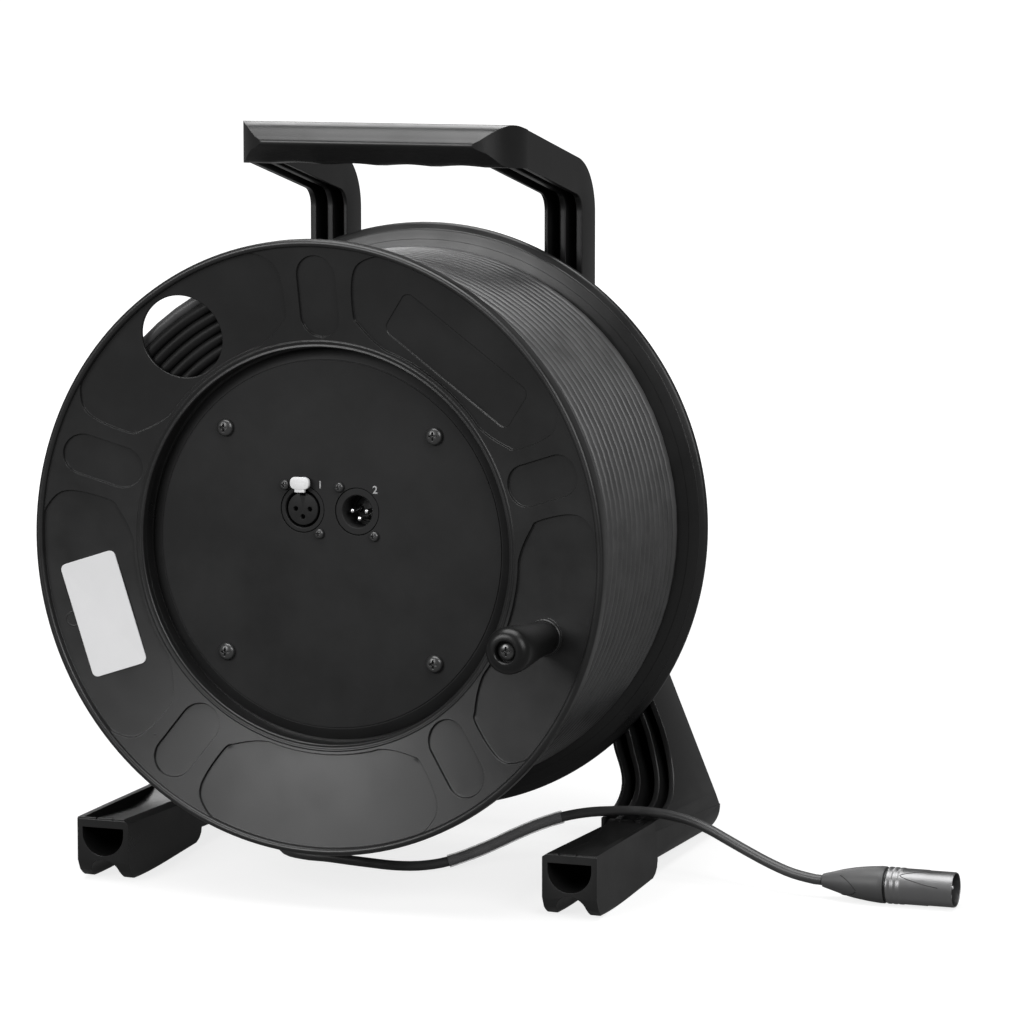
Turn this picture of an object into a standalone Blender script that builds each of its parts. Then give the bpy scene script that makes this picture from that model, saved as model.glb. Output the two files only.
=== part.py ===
"""Cable reel for stage lighting control cable.

A plastic drum turns on a stub axle at the back of a carrying frame, so its front is free
for a recessed panel with two three-pole connectors and for the crank knob.
All lengths are metres. The drum's own frame has its origin at the centre of the front
rim, +X to the right, +Y along the drum's axis to the back and +Z up. The whole reel leans
back by STANCE_TILT, because its feet are cut at that angle.
"""
import math

import bmesh
import bpy
from mathutils import Matrix, Vector

# Stance
STANCE_TILT = math.radians(5.166)
AXIS_HEIGHT = 0.1837           # centre of the front rim above the floor
DEPTH_CENTRE = 0.0786          # moves the object's middle to the origin
GAP = 0.0003                   # between faces that touch

# Drum
FLANGE_RADIUS = 0.155
DRUM_WIDTH = 0.1554
RIM_WIDTH = 0.0038             # radial width of the rolled rim
RIM_RISE = 0.0024              # rim stands this far before the face
RIM_DEPTH = 0.0082             # rim's length along the axis
FACE_DROP = 0.0116             # the face falls this far from rim to mouth
FLANGE_WALL = 0.0031
MOUTH_RADIUS = 0.1003
BARREL_RADIUS = 0.104
BARREL_WALL = 0.0035
SEGMENTS = 40                  # round the flanges
INNER_SEGMENTS = 30            # round the barrel and the core
HOLE_SEGMENTS = 18
SCREW_SEGMENTS = 8

# Pockets and openings in the flanges
SECTOR_COUNT = 5
SECTOR_ANGLE = 54.0            # middle of the first wide pocket, from +X
POCKET_DEPTH = 0.0015
POCKET_INNER_RADIUS = 0.1054
SLOT_LENGTH = 0.0415
SLOT_WIDTH = 0.0215
SLOT_RADIUS = 0.1262
WINDOW_RADIUS = 0.021
WINDOW_ANGLE = 126.0
WINDOW_DISTANCE = POCKET_INNER_RADIUS + 0.0228
PLATE_WIDTH = 0.0815           # bare name plate in the top right pocket
PLATE_HEIGHT = 0.025
PLATE_DISTANCE = POCKET_INNER_RADIUS + 0.0161
PLATE_STEP = 0.0006
LABEL_WIDTH = 0.060
LABEL_HEIGHT = 0.0288
LABEL_DISTANCE = POCKET_INNER_RADIUS + 0.0215
LABEL_THICKNESS = 0.0004

# Cable
TURN_DIAMETER = 0.00615
TURN_PITCH = 0.00665
TURN_RADIUS = 0.1399           # centre line of the outer layer
POINTS_PER_TURN = 18
LEAVE_ANGLE = 210.0            # where the free end leaves, from +X
TAIL_DIAMETER = 0.0052
SLEEVE_WALL = 0.0005
SLEEVE_GAP = 0.0003
SLEEVE_START = 0.028           # along X, where the cable climbs the foot
SLEEVE_END = 0.098
LAYER_RIDGES = 5               # layers that show under the outer one

# Panel and connectors
PANEL_FRONT = 0.0218
PANEL_THICKNESS = 0.003
PANEL_RADIUS = 0.0992
PANEL_CHAMFER = 0.0058
PANEL_SCREW_PITCH = 0.1146
PANEL_HEAD_RADIUS = 0.0045
PANEL_SCREW_RADIUS = 0.0020
SHELF_INNER_RADIUS = 0.070
SHELF_THICKNESS = 0.003
SOCKET_SPACING = 0.030
SOCKET_HEIGHT = 0.0175
SOCKET_RADIUS = 0.0118
SOCKET_HOLE_RADIUS = 0.0121
SOCKET_DEPTH = 0.022
SOCKET_PLATE_WIDTH = 0.026
SOCKET_PLATE_HEIGHT = 0.031
SOCKET_PLATE_THICKNESS = 0.0018
SOCKET_SCREW_X = 0.0095
SOCKET_SCREW_Z = 0.0120
SOCKET_HEAD_RADIUS = 0.0026
SOCKET_SCREW_RADIUS = 0.0014
INSERT_RADIUS = 0.0079
GROOVE_RADIUS = 0.0095
CAVITY_RADIUS = 0.0081
CAVITY_DEPTH = 0.0135
CONTACT_RADIUS = 0.0039        # circle of the three contacts
PIN_RADIUS = 0.0012
PIN_SETBACK = 0.0022           # tips behind the panel's face
TAB_WIDTH = 0.0104
TAB_HEIGHT = 0.0062
TAB_NECK_WIDTH = 0.0054
TAB_PROUD = 0.0040
TAB_TRAVEL = 0.0015

# Crank knob
KNOB_ANGLE = 342.5
KNOB_DISTANCE = FLANGE_RADIUS - 0.0276
KNOB_LENGTH = 0.0500
KNOB_TIP_RADIUS = 0.0116
KNOB_BASE_RADIUS = 0.0085
KNOB_BORE_RADIUS = 0.0043
KNOB_RECESS_RADIUS = 0.0052
KNOB_RECESS_DEPTH = 0.0040
KNOB_BOLT_RADIUS = 0.0040
KNOB_BOSS_RISE = 0.0004

# Bearing
AXLE_RADIUS = 0.009
AXLE_THREAD_RADIUS = 0.006
AXLE_FLANGE_RADIUS = 0.030
AXLE_FLANGE_THICKNESS = 0.005
HUB_FRONT = 0.070
HUB_BORE_RADIUS = 0.013
HUB_WALL = 0.0045
HUB_COLLAR_RISE = 0.001        # the hub stands this far behind the web
WEB_SETBACK = 0.014            # rear web from the rear rim
WEB_WALL = 0.003
BUSH_FLANGE_RADIUS = 0.016
BUSH_FLANGE_THICKNESS = 0.002
WASHER_RADIUS = 0.013
WASHER_THICKNESS = 0.0015
NUT_ACROSS_FLATS = 0.019
NUT_THICKNESS = 0.008

# Frame
FRAME_BACK = DRUM_WIDTH + 0.0370    # back faces of uprights and legs
FRAME_WALL = 0.0034            # outer wall
FRAME_INNER_WALL = 0.0020
FRAME_RIB = 0.0032
FRAME_WEB = 0.0030
RIB_SETBACK = 0.0008
UPRIGHT_OUTER = 0.0778         # half the width over the uprights
UPRIGHT_WIDTH = 0.0214
UPRIGHT_FRONT = FRAME_BACK - 0.0194
LEG_TOP = 0.018                # height where the legs start to splay
LEG_SPLAY = 0.4206             # sideways per unit of height
LEG_WIDTH = 0.0312
LEG_SWEEP_START = -0.104       # height where the front edge starts to sweep into the foot
LEG_FRONT = FRAME_BACK - 0.0347
LEG_CORNER_RADIUS = 0.016
LEG_BLOCK_TOP = -0.151
LEG_BOTTOM = -0.168
HEEL_START = FRAME_BACK - 0.0104
ARM_SLOPE = math.tan(math.radians(13.4))
ARM_TOP = 0.2067               # height of the arms' top line at GRIP_BACK
ARM_DEPTH = 0.0196
ARM_ROOT_TAPER = 0.0005        # the arms are this much slimmer where they start in the grip
BEND_RADIUS = 0.0308
INNER_BEND_RADIUS = 0.010
GRIP_NOSE = 0.0676             # front ridge of the grip
GRIP_NOSE_HEIGHT = 0.1995
GRIP_BACK = 0.096
GRIP_TOP_FRONT = 0.0770
GRIP_TOP = 0.2086
GRIP_BOTTOM = 0.1878
GRIP_CORNER_RADIUS = 0.0299
GRIP_CORNER_START = math.radians(20)
FINGER_WIDTH = 0.030
FINGER_DEPTH = 0.0014
FINGER_COUNT = 4
FINGER_STEPS = 3

# Feet
FOOT_FRONT = 0.022
FOOT_OUTER = 0.1439
FOOT_WIDTH = 0.0292
FOOT_TOP = -0.149
FOOT_TOP_REAR = -0.146
SKID_START = 0.0336
SKID_END = 0.1033
SKID_REAR = 0.110
TOE_RADIUS = 0.0032
ARCH_TOP = -0.1704
FOOT_HOLE_WIDTH = 0.0234
FOOT_HOLE_TOP = -0.1539
FOOT_HOLE_DEPTH = 0.050
TRAY_DROP = 0.004
TRAY_REAR = 0.112

# Rear plate
PLATE_BACK_THICKNESS = 0.004
PLATE_TOP = 0.070
PLATE_BOTTOM = -0.055
PLATE_HALF_WIDTH = 0.0745
PLATE_SCREW_HEIGHTS = (0.056, 0.034, -0.004, -0.030)
PLATE_SCREW_RADIUS = 0.0020
PLATE_HEAD_RADIUS = 0.0040
AXLE_SCREW_CIRCLE = 0.0225

# Plug
PLUG_RADIUS = 0.0093
PLUG_LENGTH = 0.0693
BOOT_LENGTH = 0.0335
BOOT_TIP_RADIUS = 0.0040
PLUG_RING_LENGTH = 0.0014
PLUG_WALL = 0.0011
PLUG_INSERT_SETBACK = 0.0150
PLUG_ENTRY = (0.2390, -0.0024, 0.0094)
PLUG_HEADING = math.radians(0.6)

# The free end's route over the floor and the right foot, chosen by hand, world metres
TAIL_ROUTE = (
    (-0.0900, 0.0415, 0.0463),
    (-0.0760, 0.0234, 0.0239),
    (-0.0660, 0.0071, 0.0090),
    (-0.0577, -0.0030, 0.0040),
    (-0.0473, -0.0068, 0.0029),
    (-0.0296, -0.0085, 0.0029),
    (-0.0109, -0.0116, 0.0029),
    (0.0127, -0.0139, 0.0030),
    (0.0282, -0.0105, 0.0037),
    (0.0363, -0.0070, 0.0052),
    (0.0519, 0.0005, 0.0104),
    (0.0713, 0.0085, 0.0193),
    (0.0838, 0.0124, 0.0245),
    (0.0933, 0.0146, 0.0275),
    (0.1076, 0.0158, 0.0306),
    (0.1243, 0.0154, 0.0325),
    (0.1410, 0.0148, 0.0333),
    (0.1577, 0.0134, 0.0317),
    (0.1693, 0.0113, 0.0294),
    (0.1809, 0.0085, 0.0254),
    (0.1926, 0.0055, 0.0210),
    (0.2042, 0.0026, 0.0169),
    (0.2156, 0.0001, 0.0131),
    (0.2262, -0.0017, 0.0107),
)

TIP_BACK = Matrix.Rotation(-STANCE_TILT, 4, "X")
STAND = Matrix.Translation((0.0, -DEPTH_CENTRE, AXIS_HEIGHT)) @ TIP_BACK
LEFT = -1
RIGHT = 1


# Scene helpers

def clear_scene():
    for item in list(bpy.data.objects):
        bpy.data.objects.remove(item, do_unlink=True)


def make_material(name, colour, roughness, metallic=0.0):
    material = bpy.data.materials.new(name)
    material.use_nodes = True
    shader = material.node_tree.nodes["Principled BSDF"]
    shader.inputs["Base Color"].default_value = (*colour, 1.0)
    shader.inputs["Roughness"].default_value = roughness
    shader.inputs["Metallic"].default_value = metallic
    material.diffuse_color = (*colour, 1.0)
    return material


def make_empty(name, parent, location):
    empty = bpy.data.objects.new(name, None)
    empty.empty_display_size = 0.02
    bpy.context.scene.collection.objects.link(empty)
    empty.parent = parent
    empty.location = location
    return empty


def add_piece(name, mesh_data, body, material, smooth_angle=30.0):
    """Turn a bmesh in the drum's frame into a named object that follows a body's empty."""
    bmesh.ops.translate(mesh_data, verts=mesh_data.verts, vec=-body.location)
    mesh = bpy.data.meshes.new(name)
    mesh_data.to_mesh(mesh)
    mesh_data.free()
    mesh.materials.append(material)
    mesh.shade_smooth()
    mesh.set_sharp_from_angle(angle=math.radians(smooth_angle))
    piece = bpy.data.objects.new(name, mesh)
    bpy.context.scene.collection.objects.link(piece)
    piece.parent = body
    return piece


def add_copies(name, mesh_data, places, body, material):
    """Numbered copies of one piece, which share its mesh."""
    mesh = bpy.data.meshes.new(name)
    mesh_data.to_mesh(mesh)
    mesh_data.free()
    mesh.materials.append(material)
    mesh.shade_smooth()
    mesh.set_sharp_from_angle(angle=math.radians(30.0))
    for number, place in enumerate(places, 1):
        piece = bpy.data.objects.new(f"{name}_{number}", mesh)
        bpy.context.scene.collection.objects.link(piece)
        piece.parent = body
        piece.location = Vector(place) - body.location


# Shape helpers

def polar(radius, degrees):
    angle = math.radians(degrees)
    return radius * math.cos(angle), radius * math.sin(angle)


def arc(centre, radius, start, end, steps):
    """Points of an arc from start to end in degrees, both ends kept."""
    points = []
    for step in range(steps + 1):
        across, up = polar(radius, start + (end - start) * step / steps)
        points.append((centre[0] + across, centre[1] + up))
    return points


def lathe(outline, segments=SEGMENTS):
    """Turn a closed outline of (radius, depth) about the drum's axis."""
    shape = bmesh.new()
    corners = [shape.verts.new((radius, depth, 0.0)) for radius, depth in outline]
    edges = [shape.edges.new(pair) for pair in zip(corners, corners[1:] + corners[:1])]
    bmesh.ops.spin(shape, geom=corners + edges, cent=(0, 0, 0), axis=(0, 1, 0), dvec=(0, 0, 0),
                   angle=2 * math.pi, steps=segments, use_merge=True)
    bmesh.ops.remove_doubles(shape, verts=shape.verts, dist=1e-7)
    bmesh.ops.dissolve_degenerate(shape, edges=shape.edges, dist=1e-7)
    loose = [edge for edge in shape.edges if not edge.link_faces]
    bmesh.ops.delete(shape, geom=loose, context="EDGES")
    bmesh.ops.recalc_face_normals(shape, faces=shape.faces)
    return shape


def loft(sections):
    """Join a row of loops with equal point counts and close both ends."""
    shape = bmesh.new()
    loops = [[shape.verts.new(point) for point in section] for section in sections]
    for first, second in zip(loops, loops[1:]):
        for index, corner in enumerate(first):
            after = (index + 1) % len(first)
            shape.faces.new((corner, first[after], second[after], second[index]))
    shape.faces.new(loops[0])
    shape.faces.new(loops[-1])
    bmesh.ops.recalc_face_normals(shape, faces=shape.faces)
    return shape


def prism(outline, front, back):
    """Extrude an (x, z) outline along the drum's axis."""
    return loft([[(x, depth, z) for x, z in outline] for depth in (front, back)])


def side_prism(outline, inner, outer):
    """Extrude a (y, z) outline sideways."""
    return loft([[(x, y, z) for y, z in outline] for x in (inner, outer)])


def plan_prism(outline, bottom, top):
    """Extrude an (x, y) outline upwards."""
    return loft([[(x, y, z) for x, y in outline] for z in (bottom, top)])


def cylinder(radius, front, back, segments=HOLE_SEGMENTS):
    return lathe([(0.0, front), (radius, front), (radius, back), (0.0, back)], segments)


def moved(shape, offset):
    bmesh.ops.translate(shape, verts=shape.verts, vec=offset)
    return shape


def turned(shape, degrees, axis="Y"):
    rotation = Matrix.Rotation(math.radians(degrees), 4, axis)
    bmesh.ops.transform(shape, matrix=rotation, verts=shape.verts)
    return shape


def mirrored(shape, side):
    """Keep the right hand shape, or flip it to the left."""
    if side == LEFT:
        bmesh.ops.scale(shape, vec=(-1, 1, 1), verts=shape.verts)
        bmesh.ops.reverse_faces(shape, faces=shape.faces)
    return shape


def gathered(shapes):
    """Put separate solids in one mesh."""
    whole = bmesh.new()
    for shape in shapes:
        mesh = bpy.data.meshes.new("part")
        shape.to_mesh(mesh)
        shape.free()
        whole.from_mesh(mesh)
        bpy.data.meshes.remove(mesh)
    return whole


def temporary(shape, name):
    mesh = bpy.data.meshes.new(name)
    shape.to_mesh(mesh)
    shape.free()
    item = bpy.data.objects.new(name, mesh)
    bpy.context.scene.collection.objects.link(item)
    return item


def boolean(shape, tool, operation):
    """Exact Boolean of two meshes. Both are used up."""
    base = temporary(shape, "base")
    cutter = temporary(tool, "cutter")
    modifier = base.modifiers.new("boolean", "BOOLEAN")
    modifier.operation = operation
    modifier.solver = "EXACT"
    modifier.object = cutter
    evaluated = base.evaluated_get(bpy.context.evaluated_depsgraph_get())
    result = bmesh.new()
    result.from_mesh(evaluated.data)
    for item in (base, cutter):
        mesh = item.data
        bpy.data.objects.remove(item)
        bpy.data.meshes.remove(mesh)
    bmesh.ops.remove_doubles(result, verts=result.verts, dist=2e-6)
    bmesh.ops.dissolve_degenerate(result, edges=result.edges, dist=2e-6)
    return result


def cut(shape, tool):
    return boolean(shape, tool, "DIFFERENCE")


def join(shape, other):
    return boolean(shape, other, "UNION")


def common(shape, other):
    return boolean(shape, other, "INTERSECT")


def rounded_rectangle(width, height, radius, steps=3):
    corners = []
    for across, up, start in ((1, 1, 0), (-1, 1, 90), (-1, -1, 180), (1, -1, 270)):
        centre = (across * (width / 2 - radius), up * (height / 2 - radius))
        corners += arc(centre, radius, start, start + 90, steps)
    return corners


def placed(outline, distance, degrees):
    """Lay an outline on the drum's face: its height points outwards along a radius."""
    angle = math.radians(degrees)
    outward = (math.cos(angle), math.sin(angle))
    along = (math.sin(angle), -math.cos(angle))
    return [(outward[0] * (distance + v) + along[0] * u, outward[1] * (distance + v) + along[1] * u)
            for u, v in outline]


# Drum

def face_depth(radius):
    """Depth of the flange's conical front face at a radius."""
    start = FLANGE_RADIUS - RIM_WIDTH
    return RIM_RISE + (start - radius) / (start - MOUTH_RADIUS) * FACE_DROP


def inner_face_depth(radius):
    """Depth of the face that the winding lies against."""
    return face_depth(radius) + FLANGE_WALL


def rim_outline():
    """Front rim, from the face over the bead to the winding's side."""
    inside = FLANGE_RADIUS - RIM_WIDTH
    bead = RIM_WIDTH / 2
    over = arc((FLANGE_RADIUS - bead, bead), bead, 180, 360, 4)
    return [(inside, face_depth(inside))] + over + [
        (FLANGE_RADIUS, RIM_DEPTH),
        (inside, RIM_DEPTH),
        (inside - 0.001, inner_face_depth(inside - 0.001)),
    ]


def mouth_lip():
    """Raised bead round the mouth of the recess."""
    lip = MOUTH_RADIUS
    return [
        (lip, face_depth(lip) + 0.0006),
        (lip + 0.0010, face_depth(lip + 0.0010) - 0.0008),
        (lip + 0.0026, face_depth(lip + 0.0026)),
    ]


def pocket_outline(middle):
    """Wide pocket: flat inner side with cut corners, open to the rim."""
    half = [
        (POCKET_INNER_RADIUS, 0.0), (POCKET_INNER_RADIUS, 9.0), (POCKET_INNER_RADIUS, 17.6),
        (POCKET_INNER_RADIUS + 0.0087, 25.6), (POCKET_INNER_RADIUS + 0.0125, 27.0),
        (0.1340, 27.9), (0.1450, 26.8), (0.1506, 23.6), (0.1530, 21.0),
    ]
    rim = [(0.1530, 10.0)]
    side = half + rim
    other = [(radius, -angle) for radius, angle in reversed(side[1:])]
    return [polar(radius, middle + angle) for radius, angle in [(0.1530, 0.0)] + other + side]


def slot_outline(middle):
    """Narrow pocket with round ends, its length along a radius."""
    straight = (SLOT_LENGTH - SLOT_WIDTH) / 2
    ends = arc((0.0, straight), SLOT_WIDTH / 2, 0, 180, 5) + arc((0.0, -straight), SLOT_WIDTH / 2, 180, 360, 5)
    return placed(ends, SLOT_RADIUS, middle)


def face_layer(near, far):
    """Ring that follows the flange's face between two distances behind it."""
    inner = MOUTH_RADIUS + 0.003
    outer = FLANGE_RADIUS - RIM_WIDTH + 0.0002
    return lathe([
        (inner, face_depth(inner) + near), (outer, face_depth(outer) + near),
        (outer, face_depth(outer) + far), (inner, face_depth(inner) + far),
    ])


def face_pockets():
    """Everything that is sunk into a flange's face."""
    outlines = []
    for index in range(SECTOR_COUNT):
        middle = SECTOR_ANGLE + index * 360 / SECTOR_COUNT
        outlines.append(pocket_outline(middle))
        outlines.append(slot_outline(middle + 180 / SECTOR_COUNT))
    prisms = gathered([prism(outline, -0.01, 0.03) for outline in outlines])
    return common(face_layer(-0.010, POCKET_DEPTH), prisms)


def flange_blank(hub):
    """Closed outline of a flange, with or without the rear flange's web and hub."""
    outline = mouth_lip() + rim_outline()
    back = inner_face_depth(BARREL_RADIUS)
    outline += [(BARREL_RADIUS + GAP, inner_face_depth(BARREL_RADIUS + GAP)), (BARREL_RADIUS, back + 0.001)]
    if not hub:
        return outline + [(MOUTH_RADIUS, back + 0.001)]
    inside = (BARREL_RADIUS - BARREL_WALL) * math.cos(math.pi / INNER_SEGMENTS) - GAP
    return outline + [
        (inside, back + 0.001), (inside, WEB_SETBACK + WEB_WALL), (0.020, WEB_SETBACK + WEB_WALL),
        (0.020, WEB_SETBACK), (MOUTH_RADIUS - 0.006, WEB_SETBACK),
    ]


def hub_tube():
    """Bearing tube with a collar that reaches into the web's thickness and past it."""
    bore = HUB_BORE_RADIUS
    outer = bore + HUB_WALL
    front = DRUM_WIDTH - HUB_FRONT
    back = WEB_SETBACK - HUB_COLLAR_RISE
    return lathe([(bore, back), (outer + 0.010, back), (outer + 0.010, WEB_SETBACK + WEB_WALL + 0.001),
                  (outer, WEB_SETBACK + WEB_WALL + 0.011), (outer, front), (bore, front)], HOLE_SEGMENTS)


def make_front_flange(body, material):
    shape = cut(lathe(flange_blank(hub=False)), face_pockets())
    plate = prism(placed(rounded_rectangle(PLATE_WIDTH, PLATE_HEIGHT, 0.003), PLATE_DISTANCE, SECTOR_ANGLE),
                  -0.01, 0.03)
    shape = cut(shape, common(face_layer(-0.010, POCKET_DEPTH + PLATE_STEP), plate))
    window = cylinder(WINDOW_RADIUS, -0.01, 0.03)
    across, up = polar(WINDOW_DISTANCE, WINDOW_ANGLE)
    shape = cut(shape, moved(window, (across, 0.0, up)))
    across, up = knob_centre()
    boss = moved(cylinder(KNOB_BASE_RADIUS + 0.0008, knob_seat(), 0.03), (across, 0.0, up))
    shape = join(shape, common(face_layer(-0.010, POCKET_DEPTH + 0.0008), boss))
    shape = cut(shape, moved(cylinder(KNOB_BOLT_RADIUS + GAP, -0.01, 0.05, SCREW_SEGMENTS), (across, 0.0, up)))
    return add_piece("front_flange", shape, body, material)


def make_rear_flange(body, material):
    """The same dished face turned to the back, with a web and the bearing hub."""
    shape = join(lathe(flange_blank(hub=True)), hub_tube())
    bmesh.ops.scale(shape, vec=(1, -1, 1), verts=shape.verts)
    bmesh.ops.reverse_faces(shape, faces=shape.faces)
    return add_piece("rear_flange", moved(shape, (0.0, DRUM_WIDTH, 0.0)), body, material)


def make_barrel(body, material):
    front = inner_face_depth(BARREL_RADIUS) + 0.001 + GAP
    back = DRUM_WIDTH - front
    inner = BARREL_RADIUS - BARREL_WALL
    shelf = PANEL_FRONT + PANEL_THICKNESS + GAP
    shape = lathe([
        (inner, front), (BARREL_RADIUS, front), (BARREL_RADIUS, back), (inner, back),
        (inner, shelf + SHELF_THICKNESS), (SHELF_INNER_RADIUS, shelf + SHELF_THICKNESS),
        (SHELF_INNER_RADIUS, shelf), (inner, shelf),
    ], INNER_SEGMENTS)
    holes = [moved(cylinder(PANEL_SCREW_RADIUS + GAP, -0.001, PANEL_THICKNESS + 2 * SHELF_THICKNESS, SCREW_SEGMENTS), place)
             for place in panel_screw_places()]
    return add_piece("drum_barrel", cut(shape, gathered(holes)), body, material)


def make_cable_core(body, material):
    """Inner layers of cable. Their sides show as ridges through the flange's window."""
    outer = TURN_RADIUS * math.cos(math.pi / POINTS_PER_TURN) - TURN_DIAMETER / 2 - GAP
    inner = (BARREL_RADIUS + GAP) / math.cos(math.pi / INNER_SEGMENTS)
    layer = (outer - inner) / LAYER_RIDGES
    front = []
    for index in range(LAYER_RIDGES):
        start = inner + index * layer
        for share, rise in ((0.0, 0.0014), (0.5, 0.0)):
            radius = start + share * layer
            front.append((radius, inner_face_depth(radius) + GAP + rise))
    front.append((outer, inner_face_depth(outer) + GAP + 0.0014))
    back = [(radius, DRUM_WIDTH - depth) for radius, depth in (front[-1], front[0])]
    return add_piece("cable_core", lathe(front + back, INNER_SEGMENTS), body, material)


def winding_points():
    """Centre line of the outer layer, front to back, in the drum's frame."""
    edge = inner_face_depth(TURN_RADIUS - TURN_DIAMETER / 2) + TURN_DIAMETER / 2 + GAP
    first = edge
    last = DRUM_WIDTH - edge
    turns = (last - first) / TURN_PITCH
    steps = int(turns * POINTS_PER_TURN)
    points = []
    for step in range(steps + 1):
        angle = LEAVE_ANGLE - (steps - step) * 360 / POINTS_PER_TURN
        across, up = polar(TURN_RADIUS, angle)
        depth = last - (steps - step) * TURN_PITCH / POINTS_PER_TURN
        points.append(Vector((across, depth, up)))
    points.insert(0, points[0] - end_direction(points[0], points[1]) * TURN_DIAMETER)
    points.append(points[-1] + end_direction(points[-2], points[-1], at_end=True) * TURN_DIAMETER)
    return points


def end_direction(first, second, at_end=False):
    """Direction of a circle about the axis at the chosen end of a step along it."""
    radial = Vector((second.x, 0.0, second.z)) if at_end else Vector((first.x, 0.0, first.z))
    return Vector((-radial.z, 0.0, radial.x)).normalized()


def least_self_gap(points, diameter):
    """Least clear distance between turns that lie side by side."""
    least = 1.0
    apart = POINTS_PER_TURN // 2
    for index, point in enumerate(points):
        for other in points[index + apart:index + 2 * POINTS_PER_TURN]:
            least = min(least, (other - point).length - diameter)
    return least


def make_tube(name, points, diameter, resolution, body, material):
    """Cable on a row of points. The ends are closed."""
    curve = bpy.data.curves.new(name, "CURVE")
    curve.dimensions = "3D"
    curve.bevel_depth = diameter / 2
    curve.bevel_resolution = resolution
    curve.use_fill_caps = True
    spline = curve.splines.new("POLY")
    spline.points.add(len(points) - 1)
    for target, point in zip(spline.points, points):
        target.co = (*point, 1.0)
    curve.materials.append(material)
    tube = bpy.data.objects.new(name, curve)
    bpy.context.scene.collection.objects.link(tube)
    tube.parent = body
    return tube


def make_winding(body, material):
    points = winding_points()
    print("least gap between turns, mm:", round(least_self_gap(points, TURN_DIAMETER) * 1000, 3))
    return make_tube("cable_winding", points, TURN_DIAMETER, 1, body, material)


def make_label(body, material):
    """Blank label in the left pocket, bent to the cone under it."""
    outline = placed(rounded_rectangle(LABEL_WIDTH, LABEL_HEIGHT, 0.0015, 2), LABEL_DISTANCE,
                     SECTOR_ANGLE + 2 * 360 / SECTOR_COUNT)
    sheet = face_layer(POCKET_DEPTH - GAP - LABEL_THICKNESS, POCKET_DEPTH - GAP)
    return add_piece("label", common(sheet, prism(outline, -0.01, 0.03)), body, material)


# Panel and connectors

def screw(head_radius, head_height, shank_radius, shank_length):
    """Domed cross-head screw along +Y, the underside of its head at y = 0."""
    dome = [(head_radius * math.cos(math.radians(angle)),
             -0.3 * head_height - 0.7 * head_height * math.sin(math.radians(angle)))
            for angle in (0, 45)]
    outline = [(0.0, -head_height)] + dome[::-1] + [
        (head_radius, 0.0), (shank_radius, 0.0), (shank_radius, shank_length), (0.0, shank_length)]
    shape = lathe(outline, SCREW_SEGMENTS)
    arm = head_radius * 0.55
    slit = head_radius * 0.11
    depth = head_height * 0.55
    cross = []
    for across, up in ((1, 1), (-1, 1), (-1, -1), (1, -1)):
        tips = [(across * arm, up * slit), (across * slit, up * slit), (across * slit, up * arm)]
        cross += tips if across * up > 0 else tips[::-1]
    return cut(shape, prism(cross, -2 * head_height, -head_height + depth))


def socket_places():
    return {"female": -SOCKET_SPACING / 2, "male": SOCKET_SPACING / 2}


def make_panel(body, material):
    back = PANEL_FRONT + PANEL_THICKNESS
    shape = lathe([
        (0.0, PANEL_FRONT), (PANEL_RADIUS - PANEL_CHAMFER, PANEL_FRONT),
        (PANEL_RADIUS, back - 0.0008), (PANEL_RADIUS, back), (0.0, back)], INNER_SEGMENTS)
    tools = [moved(cylinder(SOCKET_HOLE_RADIUS, 0.0, 0.04), (across, 0.0, SOCKET_HEIGHT))
             for across in socket_places().values()]
    tools += [moved(cylinder(SOCKET_SCREW_RADIUS + GAP, -0.01, 0.02, SCREW_SEGMENTS), place) for place in socket_screw_places()]
    tools += [moved(cylinder(PANEL_SCREW_RADIUS + GAP, -0.01, 0.02, SCREW_SEGMENTS), place) for place in panel_screw_places()]
    shape = cut(shape, gathered(tools))
    slot = prism(tab_slot_outline(), 0.0, 0.04)
    return add_piece("connector_panel", cut(shape, slot), body, material)


def tab_centre():
    return -SOCKET_SPACING / 2, SOCKET_HEIGHT + 0.0134


def tab_slot_outline():
    """Opening in the panel for the tab's stem."""
    across, up = tab_centre()
    half = TAB_NECK_WIDTH / 2 + GAP
    low = SOCKET_HEIGHT + SOCKET_HOLE_RADIUS - 0.003
    high = up + 0.0016 + GAP
    return [(across - half, low), (across + half, low), (across + half, high), (across - half, high)]


def panel_screw_places():
    half = PANEL_SCREW_PITCH / 2
    return [(across * half, PANEL_FRONT - GAP, up * half) for up in (1, -1) for across in (-1, 1)]


def socket_screw_places():
    return [(across + side * SOCKET_SCREW_X, PANEL_FRONT - GAP, SOCKET_HEIGHT - side * SOCKET_SCREW_Z)
            for across in socket_places().values() for side in (LEFT, RIGHT)]


def make_panel_screws(body, material):
    length = PANEL_THICKNESS + 2 * GAP + SHELF_THICKNESS - 0.0005
    shape = screw(PANEL_HEAD_RADIUS, 0.0030, PANEL_SCREW_RADIUS, length)
    add_copies("panel_screw", shape, panel_screw_places(), body, material)


def make_socket_screws(body, material):
    shape = screw(SOCKET_HEAD_RADIUS, 0.0021, SOCKET_SCREW_RADIUS, PANEL_THICKNESS + 0.0016)
    add_copies("socket_screw", shape, socket_screw_places(), body, material)


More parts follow.
